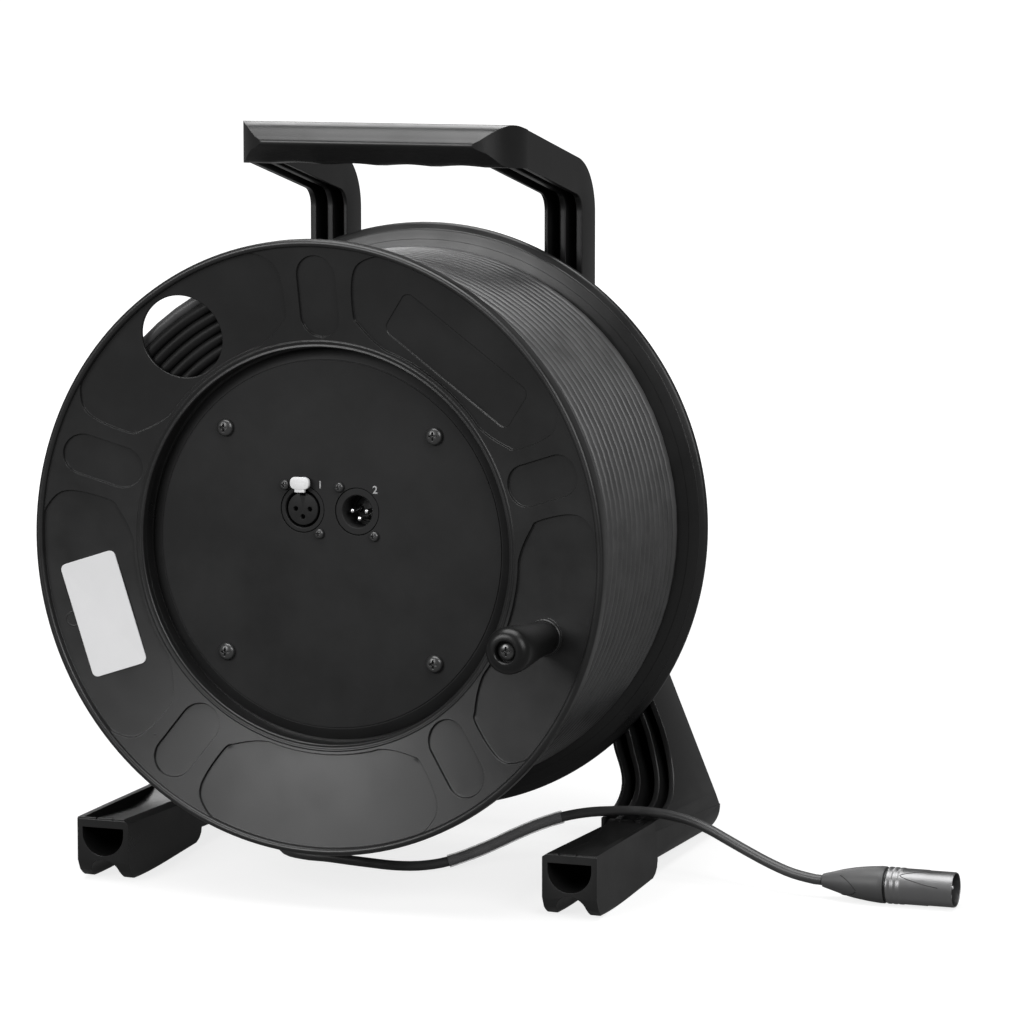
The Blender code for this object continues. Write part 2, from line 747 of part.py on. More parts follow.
def socket_plate():
    """Mounting plate behind the panel, with its two screw holes, round the connector's barrel."""
    front = PANEL_FRONT + PANEL_THICKNESS + GAP
    plate = prism(rounded_rectangle(SOCKET_PLATE_WIDTH, SOCKET_PLATE_HEIGHT, 0.003, 1), front,
                  front + SOCKET_PLATE_THICKNESS)
    holes = [moved(cylinder(SOCKET_SCREW_RADIUS + GAP, 0.0, 0.05, SCREW_SEGMENTS),
                   (side * SOCKET_SCREW_X, 0.0, -side * SOCKET_SCREW_Z)) for side in (LEFT, RIGHT)]
    bore = cylinder((SOCKET_RADIUS + GROOVE_RADIUS) / 2, 0.0, 0.05)
    return cut(plate, gathered(holes + [bore]))


def contact_places(centre=(0.0, 0.0, 0.0)):
    """Middles of the three contacts about a connector's axis."""
    across, depth, up = centre
    return [(across - CONTACT_RADIUS, depth, up), (across + CONTACT_RADIUS, depth, up),
            (across, depth, up - CONTACT_RADIUS)]


def contact_holes(radius, front, back):
    return gathered([moved(cylinder(radius, front, back, 8), place) for place in contact_places()])


def make_female_socket(body, material):
    front = PANEL_FRONT + 0.0002
    back = front + SOCKET_DEPTH
    shell = lathe([
        (GROOVE_RADIUS, front), (SOCKET_RADIUS, front), (SOCKET_RADIUS, back), (0.0, back),
        (0.0, back - 0.002), (GROOVE_RADIUS, back - 0.002)], HOLE_SEGMENTS)
    shape = join(shell, socket_plate())
    notch = moved(prism(rounded_rectangle(TAB_NECK_WIDTH + 4 * GAP, 0.006, 0.0004, 1), 0.0, front + 0.012),
                  (0.0, 0.0, SOCKET_RADIUS + 0.0004))
    shape = cut(shape, notch)
    return add_piece("female_socket", moved(shape, (socket_places()["female"], 0.0, SOCKET_HEIGHT)), body, material)


def make_female_insert(body, material):
    front = PANEL_FRONT + 0.0004
    back = PANEL_FRONT + SOCKET_DEPTH - 0.002
    shape = lathe([(0.0, front), (INSERT_RADIUS, front), (INSERT_RADIUS, back - 0.004),
                   (GROOVE_RADIUS - GAP, back - 0.004), (GROOVE_RADIUS - GAP, back - GAP), (0.0, back - GAP)], HOLE_SEGMENTS)
    shape = cut(shape, contact_holes(PIN_RADIUS + 0.0001, 0.0, front + 0.012))
    return add_piece("female_insert", moved(shape, (socket_places()["female"], 0.0, SOCKET_HEIGHT)), body, material)


def make_female_contacts(body, material):
    """Spring cups at the bottom of the insert's three holes."""
    outer = PIN_RADIUS - 0.0002
    cup = lathe([(0.0006, 0.0), (outer, 0.0), (outer, 0.006), (0.0, 0.006), (0.0, 0.005), (0.0006, 0.005)], 6)
    centre = (socket_places()["female"], PANEL_FRONT + 0.0060, SOCKET_HEIGHT)
    add_copies("female_contact", cup, contact_places(centre), body, material)


def make_male_socket(body, material):
    front = PANEL_FRONT + 0.0002
    back = front + SOCKET_DEPTH
    floor = front + CAVITY_DEPTH
    shell = lathe([
        (CAVITY_RADIUS + 0.0004, front), (SOCKET_RADIUS, front), (SOCKET_RADIUS, back),
        (CAVITY_RADIUS - 0.0015, back), (CAVITY_RADIUS - 0.0015, floor), (CAVITY_RADIUS, floor),
        (CAVITY_RADIUS, front + 0.0004)], HOLE_SEGMENTS)
    shape = join(shell, socket_plate())
    return add_piece("male_socket", moved(shape, (socket_places()["male"], 0.0, SOCKET_HEIGHT)), body, material)


def make_male_insert(body, material):
    """Disc that holds the three pins at the bottom of the cavity."""
    front = PANEL_FRONT + 0.0002 + CAVITY_DEPTH
    shape = cylinder(CAVITY_RADIUS - 0.0015 - GAP, front, front + 0.007)
    shape = cut(shape, contact_holes(PIN_RADIUS + GAP, 0.0, 0.06))
    return add_piece("male_insert", moved(shape, (socket_places()["male"], 0.0, SOCKET_HEIGHT)), body, material)


def pin_shape(tip, root):
    nose = 0.0006
    return lathe([(0.0, tip), (PIN_RADIUS - nose, tip + 0.0001), (PIN_RADIUS, tip + nose),
                  (PIN_RADIUS, root), (0.0, root)], 8)


def make_male_pins(body, material):
    centre = (socket_places()["male"], PANEL_FRONT + PIN_SETBACK, SOCKET_HEIGHT)
    pin = pin_shape(0.0, CAVITY_DEPTH - PIN_SETBACK + 0.0105)
    add_copies("male_pin", pin, contact_places(centre), body, material)


def make_push_tab(body, material):
    """Release tab: a rounded head on a stem that goes back through the panel."""
    across, up = tab_centre()
    head = prism(rounded_rectangle(TAB_WIDTH, TAB_HEIGHT, 0.0026, 4), -TAB_PROUD, -TAB_TRAVEL - GAP)
    neck_low = -TAB_HEIGHT / 2 - 0.0016
    neck = [(-TAB_NECK_WIDTH / 2, neck_low), (TAB_NECK_WIDTH / 2, neck_low),
            (TAB_NECK_WIDTH / 2, 0.0), (-TAB_NECK_WIDTH / 2, 0.0)]
    shape = join(head, prism(neck, -TAB_PROUD + 0.0002, -TAB_TRAVEL - GAP - 0.0001))
    half = TAB_NECK_WIDTH / 2
    stem = [(-half, -0.0032), (half, -0.0032), (half, 0.0014), (-half, 0.0014)]
    shape = join(shape, prism(stem, -TAB_PROUD + 0.0006, 0.0090))
    return add_piece("push_tab", moved(shape, (across, PANEL_FRONT, up)), body, material)


def make_inner_lead(body, material):
    """Cable's start: through the barrel's wall side and on to the backs of both connectors."""
    back = PANEL_FRONT + SOCKET_DEPTH + 0.0005
    route = [
        Vector((-0.0150, back + 0.0002, SOCKET_HEIGHT)), Vector((-0.0150, back + 0.012, SOCKET_HEIGHT)),
        Vector((-0.0130, back + 0.022, SOCKET_HEIGHT + 0.012)), Vector((0.0000, back + 0.026, SOCKET_HEIGHT + 0.026)),
        Vector((0.0130, back + 0.022, SOCKET_HEIGHT + 0.012)), Vector((0.0150, back + 0.012, SOCKET_HEIGHT)),
        Vector((0.0150, back + 0.0002, SOCKET_HEIGHT)),
    ]
    return make_tube("inner_lead", smooth_row(route, 0.010), TAIL_DIAMETER, 1, body, material)


# Crank knob

def knob_centre():
    return polar(KNOB_DISTANCE, KNOB_ANGLE)


def knob_seat():
    """Front of the flat boss that the knob turns on."""
    return face_depth(KNOB_DISTANCE + KNOB_BASE_RADIUS) - KNOB_BOSS_RISE


def make_knob(body, material):
    """Handle that spins on its bolt, with the bolt's head sunk in its end."""
    seat = knob_seat() - GAP
    tip = seat - KNOB_LENGTH
    tip_round = arc((KNOB_TIP_RADIUS - 0.0045, tip + 0.0045), 0.0045, -90, 0, 3)
    shape = lathe([(KNOB_BORE_RADIUS, tip + KNOB_RECESS_DEPTH), (KNOB_RECESS_RADIUS, tip + KNOB_RECESS_DEPTH),
                   (KNOB_RECESS_RADIUS, tip + 0.0006), (KNOB_RECESS_RADIUS + 0.0006, tip)] + tip_round + [
                   (KNOB_TIP_RADIUS, tip + 0.010), (KNOB_TIP_RADIUS - 0.0008, tip + 0.020),
                   (KNOB_BASE_RADIUS + 0.0002, seat - 0.012), (KNOB_BASE_RADIUS, seat),
                   (KNOB_BORE_RADIUS, seat)], HOLE_SEGMENTS)
    across, up = knob_centre()
    return add_piece("crank_knob", moved(shape, (across, 0.0, up)), body, material)


def make_knob_bolt(body, material):
    seat = knob_seat() - GAP
    tip = seat - KNOB_LENGTH
    head_under = tip + KNOB_RECESS_DEPTH - GAP
    across, up = knob_centre()
    reach = inner_face_depth(KNOB_DISTANCE) - 0.0008 - head_under
    shape = screw(KNOB_RECESS_RADIUS - 0.0006, 0.0024, KNOB_BOLT_RADIUS, reach)
    return add_piece("knob_bolt", moved(shape, (across, head_under, up)), body, material)


# Bearing

def hub_back():
    return DRUM_WIDTH - WEB_SETBACK + HUB_COLLAR_RISE


def make_bush(name, flange_start, flange_end, sleeve_end, body, material):
    """Flanged plastic bush in one end of the hub."""
    bore = AXLE_RADIUS + GAP
    sleeve = HUB_BORE_RADIUS - GAP
    shape = lathe([(bore, flange_start), (BUSH_FLANGE_RADIUS, flange_start), (BUSH_FLANGE_RADIUS, flange_end),
                   (sleeve, flange_end), (sleeve, sleeve_end), (bore, sleeve_end)], HOLE_SEGMENTS)
    return add_piece(name, shape, body, material)


def make_bushes(body, material):
    front = HUB_FRONT - GAP
    make_bush("front_bush", front - BUSH_FLANGE_THICKNESS, front, front + 0.018, body, material)
    back = hub_back() + GAP
    make_bush("rear_bush", back + BUSH_FLANGE_THICKNESS, back, back - 0.018, body, material)


def axle_front_seat():
    """Front face of the front bush, where the washer bears."""
    return HUB_FRONT - GAP - BUSH_FLANGE_THICKNESS - GAP


def axle_screw_places():
    seat = FRAME_BACK + 2 * GAP + PLATE_BACK_THICKNESS
    spots = [polar(AXLE_SCREW_CIRCLE, 90 + index * 120) for index in range(3)]
    return [(across, seat, up) for across, up in spots]


def axle_screw_holes():
    reach = AXLE_FLANGE_THICKNESS + PLATE_BACK_THICKNESS + 0.003
    return gathered([moved(cylinder(PLATE_SCREW_RADIUS + GAP, -reach, 0.01, SCREW_SEGMENTS), place)
                     for place in axle_screw_places()])


def make_axle(body, material):
    shoulder = axle_front_seat()
    front = shoulder - WASHER_THICKNESS - NUT_THICKNESS - 0.003
    flange_front = FRAME_BACK - AXLE_FLANGE_THICKNESS - GAP
    collar = hub_back() + GAP + BUSH_FLANGE_THICKNESS + GAP
    shape = lathe([
        (0.0, front), (AXLE_THREAD_RADIUS - 0.0008, front), (AXLE_THREAD_RADIUS, front + 0.0008),
        (AXLE_THREAD_RADIUS, shoulder), (AXLE_RADIUS, shoulder), (AXLE_RADIUS, collar),
        (AXLE_RADIUS + 0.005, collar), (AXLE_RADIUS + 0.005, flange_front),
        (AXLE_FLANGE_RADIUS, flange_front), (AXLE_FLANGE_RADIUS, FRAME_BACK - GAP), (0.0, FRAME_BACK - GAP)], HOLE_SEGMENTS)
    return add_piece("axle", cut(shape, axle_screw_holes()), body, material)


def make_axle_washer(body, material):
    back = axle_front_seat() - GAP
    bore = AXLE_THREAD_RADIUS + GAP
    shape = lathe([(bore, back - WASHER_THICKNESS), (WASHER_RADIUS, back - WASHER_THICKNESS),
                   (WASHER_RADIUS, back), (bore, back)], HOLE_SEGMENTS)
    return add_piece("axle_washer", shape, body, material)


def make_axle_nut(body, material):
    back = axle_front_seat() - 2 * GAP - WASHER_THICKNESS
    corner = NUT_ACROSS_FLATS / 2 / math.cos(math.radians(30))
    outline = [polar(corner, 60 * index) for index in range(6)]
    shape = prism(outline, back - NUT_THICKNESS, back)
    bore = cylinder(AXLE_THREAD_RADIUS + GAP, back - 2 * NUT_THICKNESS, back + 0.01, 24)
    return add_piece("axle_nut", cut(shape, bore), body, material)


# Frame

def outer_edge(height):
    if height >= LEG_TOP:
        return UPRIGHT_OUTER
    return UPRIGHT_OUTER + LEG_SPLAY * (LEG_TOP - height)


def member_width(height):
    reach = 0.078
    share = min(max((LEG_TOP - height) / reach, 0.0), 1.0)
    return UPRIGHT_WIDTH + (LEG_WIDTH - UPRIGHT_WIDTH) * share


def leg_front(height):
    """Front edge of the leg: straight, then sweeping forward into the foot."""
    ease = min(max((LEG_TOP - height) / 0.038, 0.0), 1.0)
    straight = UPRIGHT_FRONT + (LEG_FRONT - UPRIGHT_FRONT) * ease
    drop = LEG_SWEEP_START - FOOT_TOP_REAR
    reach = LEG_FRONT - TRAY_REAR + 0.007
    if height >= LEG_SWEEP_START:
        return straight
    share = min((LEG_SWEEP_START - height) / drop, 1.0)
    return LEG_FRONT - reach + reach * math.sqrt(1.0 - share * share)


def channel_section(inner, outer, rib_shares, back, front):
    """Comb-shaped section from a back point to a front point, each given as (y, z)."""
    depth = math.dist(back, front)

    def at(x, distance):
        share = distance / depth
        return (x, back[0] + (front[0] - back[0]) * share, back[1] + (front[1] - back[1]) * share)

    width = outer - inner
    loop = [at(inner, 0.0), at(outer, 0.0), at(outer, depth), at(outer - FRAME_WALL, depth),
            at(outer - FRAME_WALL, FRAME_WEB)]
    for share in sorted(rib_shares, reverse=True):
        middle = inner + share * width
        for x, distance in ((middle + FRAME_RIB / 2, FRAME_WEB), (middle + FRAME_RIB / 2, depth - RIB_SETBACK),
                            (middle - FRAME_RIB / 2, depth - RIB_SETBACK), (middle - FRAME_RIB / 2, FRAME_WEB)):
            loop.append(at(x, distance))
    return loop + [at(inner + FRAME_INNER_WALL, FRAME_WEB), at(inner + FRAME_INNER_WALL, depth), at(inner, depth)]


def bend(start, corner, end, radius, steps=6):
    """Points of a rounded corner between two straight runs, in (y, z)."""
    corner = Vector(corner)
    before = (Vector(start) - corner).normalized()
    after = (Vector(end) - corner).normalized()
    half = before.angle(after) / 2
    reach = radius / math.tan(half)
    centre = corner + (before + after).normalized() * (radius / math.sin(half))
    first = corner + before * reach - centre
    last = corner + after * reach - centre
    sweep = math.pi - 2 * half
    points = []
    for step in range(steps + 1):
        share = step / steps
        weight_first = math.sin((1 - share) * sweep) / math.sin(sweep)
        weight_last = math.sin(share * sweep) / math.sin(sweep)
        points.append(tuple(centre + first * weight_first + last * weight_last))
    return points


def arm_top(depth):
    return ARM_TOP - (depth - GRIP_BACK) * ARM_SLOPE


def handle_arm(side):
    """Channel from the grip back and down to the top of the leg. It starts inside the grip."""
    root = GRIP_BACK - 0.008
    start = GRIP_BACK + 0.003
    end = LEG_TOP + GAP
    low = ARM_DEPTH
    outside = [(root, arm_top(root) - ARM_ROOT_TAPER), (start, arm_top(start))] + bend(
        (start, arm_top(start)), (FRAME_BACK, arm_top(FRAME_BACK)), (FRAME_BACK, 0.0), BEND_RADIUS)
    inside = [(root, arm_top(root) - low + ARM_ROOT_TAPER), (start, arm_top(start) - low)] + bend(
        (start, arm_top(start) - low), (UPRIGHT_FRONT, arm_top(UPRIGHT_FRONT) - low), (UPRIGHT_FRONT, 0.0),
        INNER_BEND_RADIUS)
    outside.append((FRAME_BACK, end))
    inside.append((UPRIGHT_FRONT, end))
    inner = UPRIGHT_OUTER - UPRIGHT_WIDTH
    sections = []
    for index, (back, front) in enumerate(zip(outside, inside)):
        taper = ARM_ROOT_TAPER if index == 0 else 0.0
        sections.append(channel_section(inner + taper, UPRIGHT_OUTER - taper, (0.477,), back, front))
    return mirrored(loft(sections), side)


def grip_profile(across):
    """Section of the grip in (y, z). Its underside has shallow finger hollows."""
    share = (across / FINGER_WIDTH) % 1.0
    within = abs(across) < FINGER_COUNT * FINGER_WIDTH / 2
    hollow = FINGER_DEPTH * math.sin(math.pi * share) if within else 0.0
    low = GRIP_BOTTOM + hollow
    arm_low = arm_top(GRIP_BACK) - ARM_DEPTH + hollow
    return [
        (GRIP_BACK, arm_low), (GRIP_BACK, arm_top(GRIP_BACK)),
        (0.0840, arm_top(0.0840)), (GRIP_TOP_FRONT + 0.0005, GRIP_TOP - 0.0002),
        (GRIP_TOP_FRONT - 0.0045, 0.2058), (GRIP_NOSE + 0.0012, 0.2014), (GRIP_NOSE, GRIP_NOSE_HEIGHT),
        (GRIP_NOSE + 0.0012, 0.1978), (0.0775, low + 0.0010), (0.0815, low),
    ]


def grip_plan():
    """Plan outline of the grip: rounded outer corners."""
    centre = (UPRIGHT_OUTER - GRIP_CORNER_RADIUS, GRIP_NOSE + GRIP_CORNER_RADIUS * math.cos(GRIP_CORNER_START))
    start = -90 + math.degrees(GRIP_CORNER_START)
    right = arc(centre, GRIP_CORNER_RADIUS, start, 0, 6)
    ahead = (right[0][0] - 0.0004, GRIP_NOSE - 0.002)
    corner = [ahead] + right + [(UPRIGHT_OUTER, GRIP_BACK + 0.01)]
    return corner + [(-x, y) for x, y in reversed(corner)]


def make_handle_frame(body, material):
    """Grip, both arms and both uprights, one moulding."""
    end = UPRIGHT_OUTER + 0.002
    steps = range(-FINGER_COUNT * FINGER_STEPS // 2, FINGER_COUNT * FINGER_STEPS // 2 + 1)
    stations = [-end] + [FINGER_WIDTH * step / FINGER_STEPS for step in steps] + [end]
    bar = loft([[(x, y, z) for y, z in grip_profile(x)] for x in stations])
    bar = common(bar, plan_prism(grip_plan(), 0.15, 0.25))
    shape = join(bar, handle_arm(RIGHT))
    shape = join(shape, handle_arm(LEFT))
    shape = cut(shape, plate_screw_holes([height for height in PLATE_SCREW_HEIGHTS if height > LEG_TOP]))
    return add_piece("handle_frame", shape, body, material)


def plate_screw_x(height):
    """Screws stand in the middle of the groove next to the outer wall."""
    return outer_edge(max(height, LEG_TOP)) - FRAME_WALL - 0.0034


def plate_screw_holes(heights):
    holes = []
    for side in (LEFT, RIGHT):
        for height in heights:
            tool = cylinder(PLATE_SCREW_RADIUS + GAP, FRAME_BACK - 0.010, FRAME_BACK + 0.02, SCREW_SEGMENTS)
            holes.append(moved(tool, (side * plate_screw_x(height), 0.0, height)))
    return gathered(holes)


def leg_channel():
    """Upper leg, a channel with two ribs that splays outwards."""
    heights = [LEG_TOP - GAP, -0.020, -0.060, LEG_SWEEP_START, -0.116, -0.128, -0.138, -0.1440, -0.1460,
               LEG_BLOCK_TOP - 0.0006]
    sections = []
    for height in heights:
        outer = outer_edge(max(height, LEG_BLOCK_TOP))
        inner = outer - member_width(height)
        sections.append(channel_section(inner, outer, (0.30, 0.66), (FRAME_BACK, height), (leg_front(height), height)))
    return loft(sections)


def sole_height(depth):
    """Height of the floor in the drum's frame."""
    return -AXIS_HEIGHT / math.cos(STANCE_TILT) + depth * math.tan(STANCE_TILT)


def leg_block():
    """Solid foot of the leg with a large round outer corner."""
    outer = outer_edge(LEG_BLOCK_TOP)
    inner = FOOT_OUTER - FOOT_WIDTH
    centre = (outer - LEG_CORNER_RADIUS, LEG_BOTTOM + LEG_CORNER_RADIUS)
    outline = [(inner, LEG_BLOCK_TOP - 0.0002), (outer, LEG_BLOCK_TOP - 0.0002)]
    outline += arc(centre, LEG_CORNER_RADIUS, 0, -90, 6) + [(inner, LEG_BOTTOM)]
    block = prism(outline, TRAY_REAR - 0.004, FRAME_BACK)
    heel = [(TRAY_REAR - 0.010, LEG_BOTTOM + 0.05), (TRAY_REAR - 0.010, LEG_BOTTOM), (HEEL_START, LEG_BOTTOM),
            (FRAME_BACK + 0.01, sole_height(FRAME_BACK + 0.01)), (FRAME_BACK + 0.01, LEG_BOTTOM + 0.05)]
    return common(block, side_prism(heel, inner - 0.01, outer + 0.01))


def foot_body():
    """Skid of the foot as seen from the side, with its inner top edge bevelled."""
    sole_front = (SKID_START, sole_height(SKID_START))
    outline = [
        (FOOT_FRONT, FOOT_TOP), (FOOT_FRONT + 0.012, FOOT_TOP + 0.0010), (0.055, FOOT_TOP + 0.0022),
        (TRAY_REAR, FOOT_TOP_REAR), (TRAY_REAR + 0.004, FOOT_TOP_REAR), (TRAY_REAR + 0.004, LEG_BOTTOM + 0.0002),
        (SKID_REAR, LEG_BOTTOM + 0.0002), (SKID_REAR - 0.0006, -0.1705), (SKID_REAR - 0.0030, -0.1733),
        (SKID_END, sole_height(SKID_END)), sole_front, (SKID_START - 0.0050, sole_front[1] + 0.0012),
        (SKID_START - 0.0090, sole_front[1] + 0.0046), (FOOT_FRONT, sole_front[1] + 0.0100),
    ]
    inner = FOOT_OUTER - FOOT_WIDTH
    return side_prism(outline, inner, FOOT_OUTER)


def foot_section():
    """Cross-section limits of the foot: bevelled inner edge, round toes and the arch between."""
    inner = FOOT_OUTER - FOOT_WIDTH
    middle = (inner + FOOT_OUTER) / 2
    low = sole_height(SKID_START)
    toe = FOOT_WIDTH / 2 - TOE_RADIUS
    rise = ARCH_TOP - low - TOE_RADIUS
    arch = (toe * toe + rise * rise - TOE_RADIUS * TOE_RADIUS) / (2 * (TOE_RADIUS + rise))
    lean = math.degrees(math.atan2(toe, arch - rise))
    outline = [(FOOT_OUTER - 0.0012, -0.10), (FOOT_OUTER, -0.10)]
    outline += arc((middle + toe, low + TOE_RADIUS), TOE_RADIUS, 0, -90 - (90 - (90 - lean)) + 0.0, 5)
    outline += arc((middle, ARCH_TOP - arch), arch, 90 - lean, 90 + lean, 8)[1:-1]
    outline += arc((middle - toe, low + TOE_RADIUS), TOE_RADIUS, -90 + lean, -180, 5)
    outline += [(inner, -0.1510), (inner + 0.0033, -0.1488), (inner + 0.0033, -0.10)]
    return outline


def foot_hole():
    """D-shaped pocket in the front of the foot."""
    middle = FOOT_OUTER - FOOT_WIDTH / 2
    radius = FOOT_HOLE_WIDTH / 2
    centre = (middle, FOOT_HOLE_TOP - 0.0031)
    outline = [(middle + radius, FOOT_HOLE_TOP)] + [(middle - radius, FOOT_HOLE_TOP)] + arc(centre, radius, 180, 360, 10)
    return prism(outline, FOOT_FRONT - 0.01, FOOT_FRONT + FOOT_HOLE_DEPTH)


def foot_tray():
    """Sloping hollow in the foot's top between its two side walls."""
    inner = FOOT_OUTER - FOOT_WIDTH + 0.0033
    outer = FOOT_OUTER - 0.0030
    outline = [(FOOT_FRONT + 0.0018, FOOT_TOP), (TRAY_REAR + 0.0300, FOOT_TOP - TRAY_DROP - 0.0014),
               (TRAY_REAR + 0.0300, FOOT_TOP + 0.0300), (FOOT_FRONT + 0.0018, FOOT_TOP + 0.0300)]
    return side_prism(outline, inner, outer)


def make_leg(name, side, body, material):
    foot = common(foot_body(), prism(foot_section(), 0.0, 0.14))
    foot = cut(foot, foot_tray())
    foot = cut(foot, foot_hole())
    shape = join(join(foot, leg_block()), leg_channel())
    holes = plate_screw_holes([height for height in PLATE_SCREW_HEIGHTS if height < LEG_TOP])
    return add_piece(name, mirrored(cut(shape, holes), side), body, material)


def make_rear_plate(body, material):
    """Steel plate across the backs of the frame. It carries the axle."""
    waist = 0.030
    outline = [
        (-PLATE_HALF_WIDTH, PLATE_BOTTOM), (PLATE_HALF_WIDTH, PLATE_BOTTOM), (PLATE_HALF_WIDTH, PLATE_TOP),
        (PLATE_HALF_WIDTH - 0.018, PLATE_TOP), (waist, 0.040), (-waist, 0.040),
        (-PLATE_HALF_WIDTH + 0.018, PLATE_TOP), (-PLATE_HALF_WIDTH, PLATE_TOP)]
    front = FRAME_BACK + GAP
    shape = prism(outline, front, front + PLATE_BACK_THICKNESS)
    shape = cut(shape, plate_screw_holes(PLATE_SCREW_HEIGHTS))
    return add_piece("rear_plate", cut(shape, axle_screw_holes()), body, material)


def back_screw(length):
    """Pan-head screw driven from behind, the underside of its head at y = 0."""
    outline = [(0.0, 0.0024), (PLATE_HEAD_RADIUS, 0.0),
               (PLATE_SCREW_RADIUS, 0.0), (PLATE_SCREW_RADIUS, -length), (0.0, -length)]
    return lathe(outline, 6)


def make_plate_screws(body, material):
    seat = FRAME_BACK + 2 * GAP + PLATE_BACK_THICKNESS
    places = [(side * plate_screw_x(height), seat, height)
              for side in (LEFT, RIGHT) for height in PLATE_SCREW_HEIGHTS]
    length = PLATE_BACK_THICKNESS + FRAME_WEB + 0.0055
    add_copies("plate_screw", back_screw(length), places, body, material)


def make_axle_screws(body, material):
    length = PLATE_BACK_THICKNESS + AXLE_FLANGE_THICKNESS
    add_copies("axle_screw", back_screw(length), axle_screw_places(), body, material)


# Free end of the cable, with its sleeve and plug

def smooth_row(route, spacing, before_start=None, after_end=None):
    """Evenly spaced points of a smooth curve through the route, and on from any straight ends."""
    points = [Vector(point) for point in route]
    first = before_start or 2 * points[0] - points[1]
    last = after_end or 2 * points[-1] - points[-2]
    padded = [first] + points + [last]
    dense = []
    for before, start, end, after in zip(padded, padded[1:], padded[2:], padded[3:]):
        for step in range(24):
            share = step / 24
            dense.append(0.5 * (2 * start + (end - before) * share
                                + (2 * before - 5 * start + 4 * end - after) * share ** 2
                                + (3 * start - before - 3 * end + after) * share ** 3))
    dense.append(points[-1])
    lengths = [0.0]
    for first, second in zip(dense, dense[1:]):
        lengths.append(lengths[-1] + (second - first).length)
    count = max(2, round(lengths[-1] / spacing))
    row = []
    index = 0
    for step in range(count + 1):
        target = lengths[-1] * step / count
        while index < len(dense) - 2 and lengths[index + 1] < target:
            index += 1
        span = lengths[index + 1] - lengths[index]
        share = (target - lengths[index]) / span if span > 0 else 0.0
        row.append(dense[index].lerp(dense[index + 1], share))
    return row


def plug_direction():
    return Vector((math.cos(PLUG_HEADING), math.sin(PLUG_HEADING), 0.0))


def tail_points():
    """From the winding's end, down to the floor, over the foot and into the plug."""
    turns = winding_points()
    end = STAND @ turns[-1]
    direction = (STAND.to_3x3() @ (turns[-1] - turns[-2])).normalized()
    entry = Vector(PLUG_ENTRY)
    straight = 2 * TAIL_DIAMETER
    start = [end + direction * distance for distance in (GAP, straight, 0.028)]
    finish = [entry - plug_direction() * distance for distance in (0.6 * TAIL_DIAMETER, GAP)]
    middle = smooth_row(start[1:] + [Vector(point) for point in TAIL_ROUTE] + finish[:1], 0.0135,
                        start[0], finish[1])
    return start[:1] + middle + finish[1:]


def ring_tube(points, inner, outer, sides=8):
    """Hollow tube along a row of points."""
    shape = bmesh.new()
    loops = []
    side_axis = None
    for index, point in enumerate(points):
        before = points[max(index - 1, 0)]
        after = points[min(index + 1, len(points) - 1)]
        forward = (after - before).normalized()
        if side_axis is None:
            side_axis = forward.cross(Vector((0, 0, 1))).normalized()
        side_axis = (side_axis - forward * side_axis.dot(forward)).normalized()
        up_axis = forward.cross(side_axis)
        for radius in (outer, inner):
            ring = []
            for step in range(sides):
                across, up = polar(radius, step * 360 / sides)
                ring.append(shape.verts.new(point + side_axis * across + up_axis * up))
            loops.append(ring)
    outers = loops[0::2]
    inners = loops[1::2]
    for rings in (outers, inners):
        for first, second in zip(rings, rings[1:]):
            for step in range(sides):
                after = (step + 1) % sides
                shape.faces.new((first[step], first[after], second[after], second[step]))
    for first, second in ((outers[0], inners[0]), (outers[-1], inners[-1])):
        for step in range(sides):
            after = (step + 1) % sides
            shape.faces.new((first[step], first[after], second[after], second[step]))
    bmesh.ops.recalc_face_normals(shape, faces=shape.faces)
    return shape


def world_piece(name, shape, body, material, placement=None):
    """Add a mesh that is already in world space, or is placed there."""
    matrix = placement or Matrix.Identity(4)
    bmesh.ops.transform(shape, matrix=matrix, verts=shape.verts)
    return add_piece(name, shape, body, material)


def make_cord(body, cable_material, sleeve_material):
    points = tail_points()
    make_tube("cable_tail", points, TAIL_DIAMETER, 2, body, cable_material)
    covered = [point for point in points if SLEEVE_START < point.x < SLEEVE_END]
    inner = TAIL_DIAMETER / 2 + SLEEVE_GAP
    world_piece("cable_sleeve", ring_tube(covered, inner, inner + SLEEVE_WALL), body, sleeve_material)


def plug_placement():
    """From the drum-style frame of the turned shapes (axis along +Y) to the plug's place."""
    heading = Matrix.Rotation(PLUG_HEADING - math.pi / 2, 4, "Z")
    return Matrix.Translation(PLUG_ENTRY) @ heading


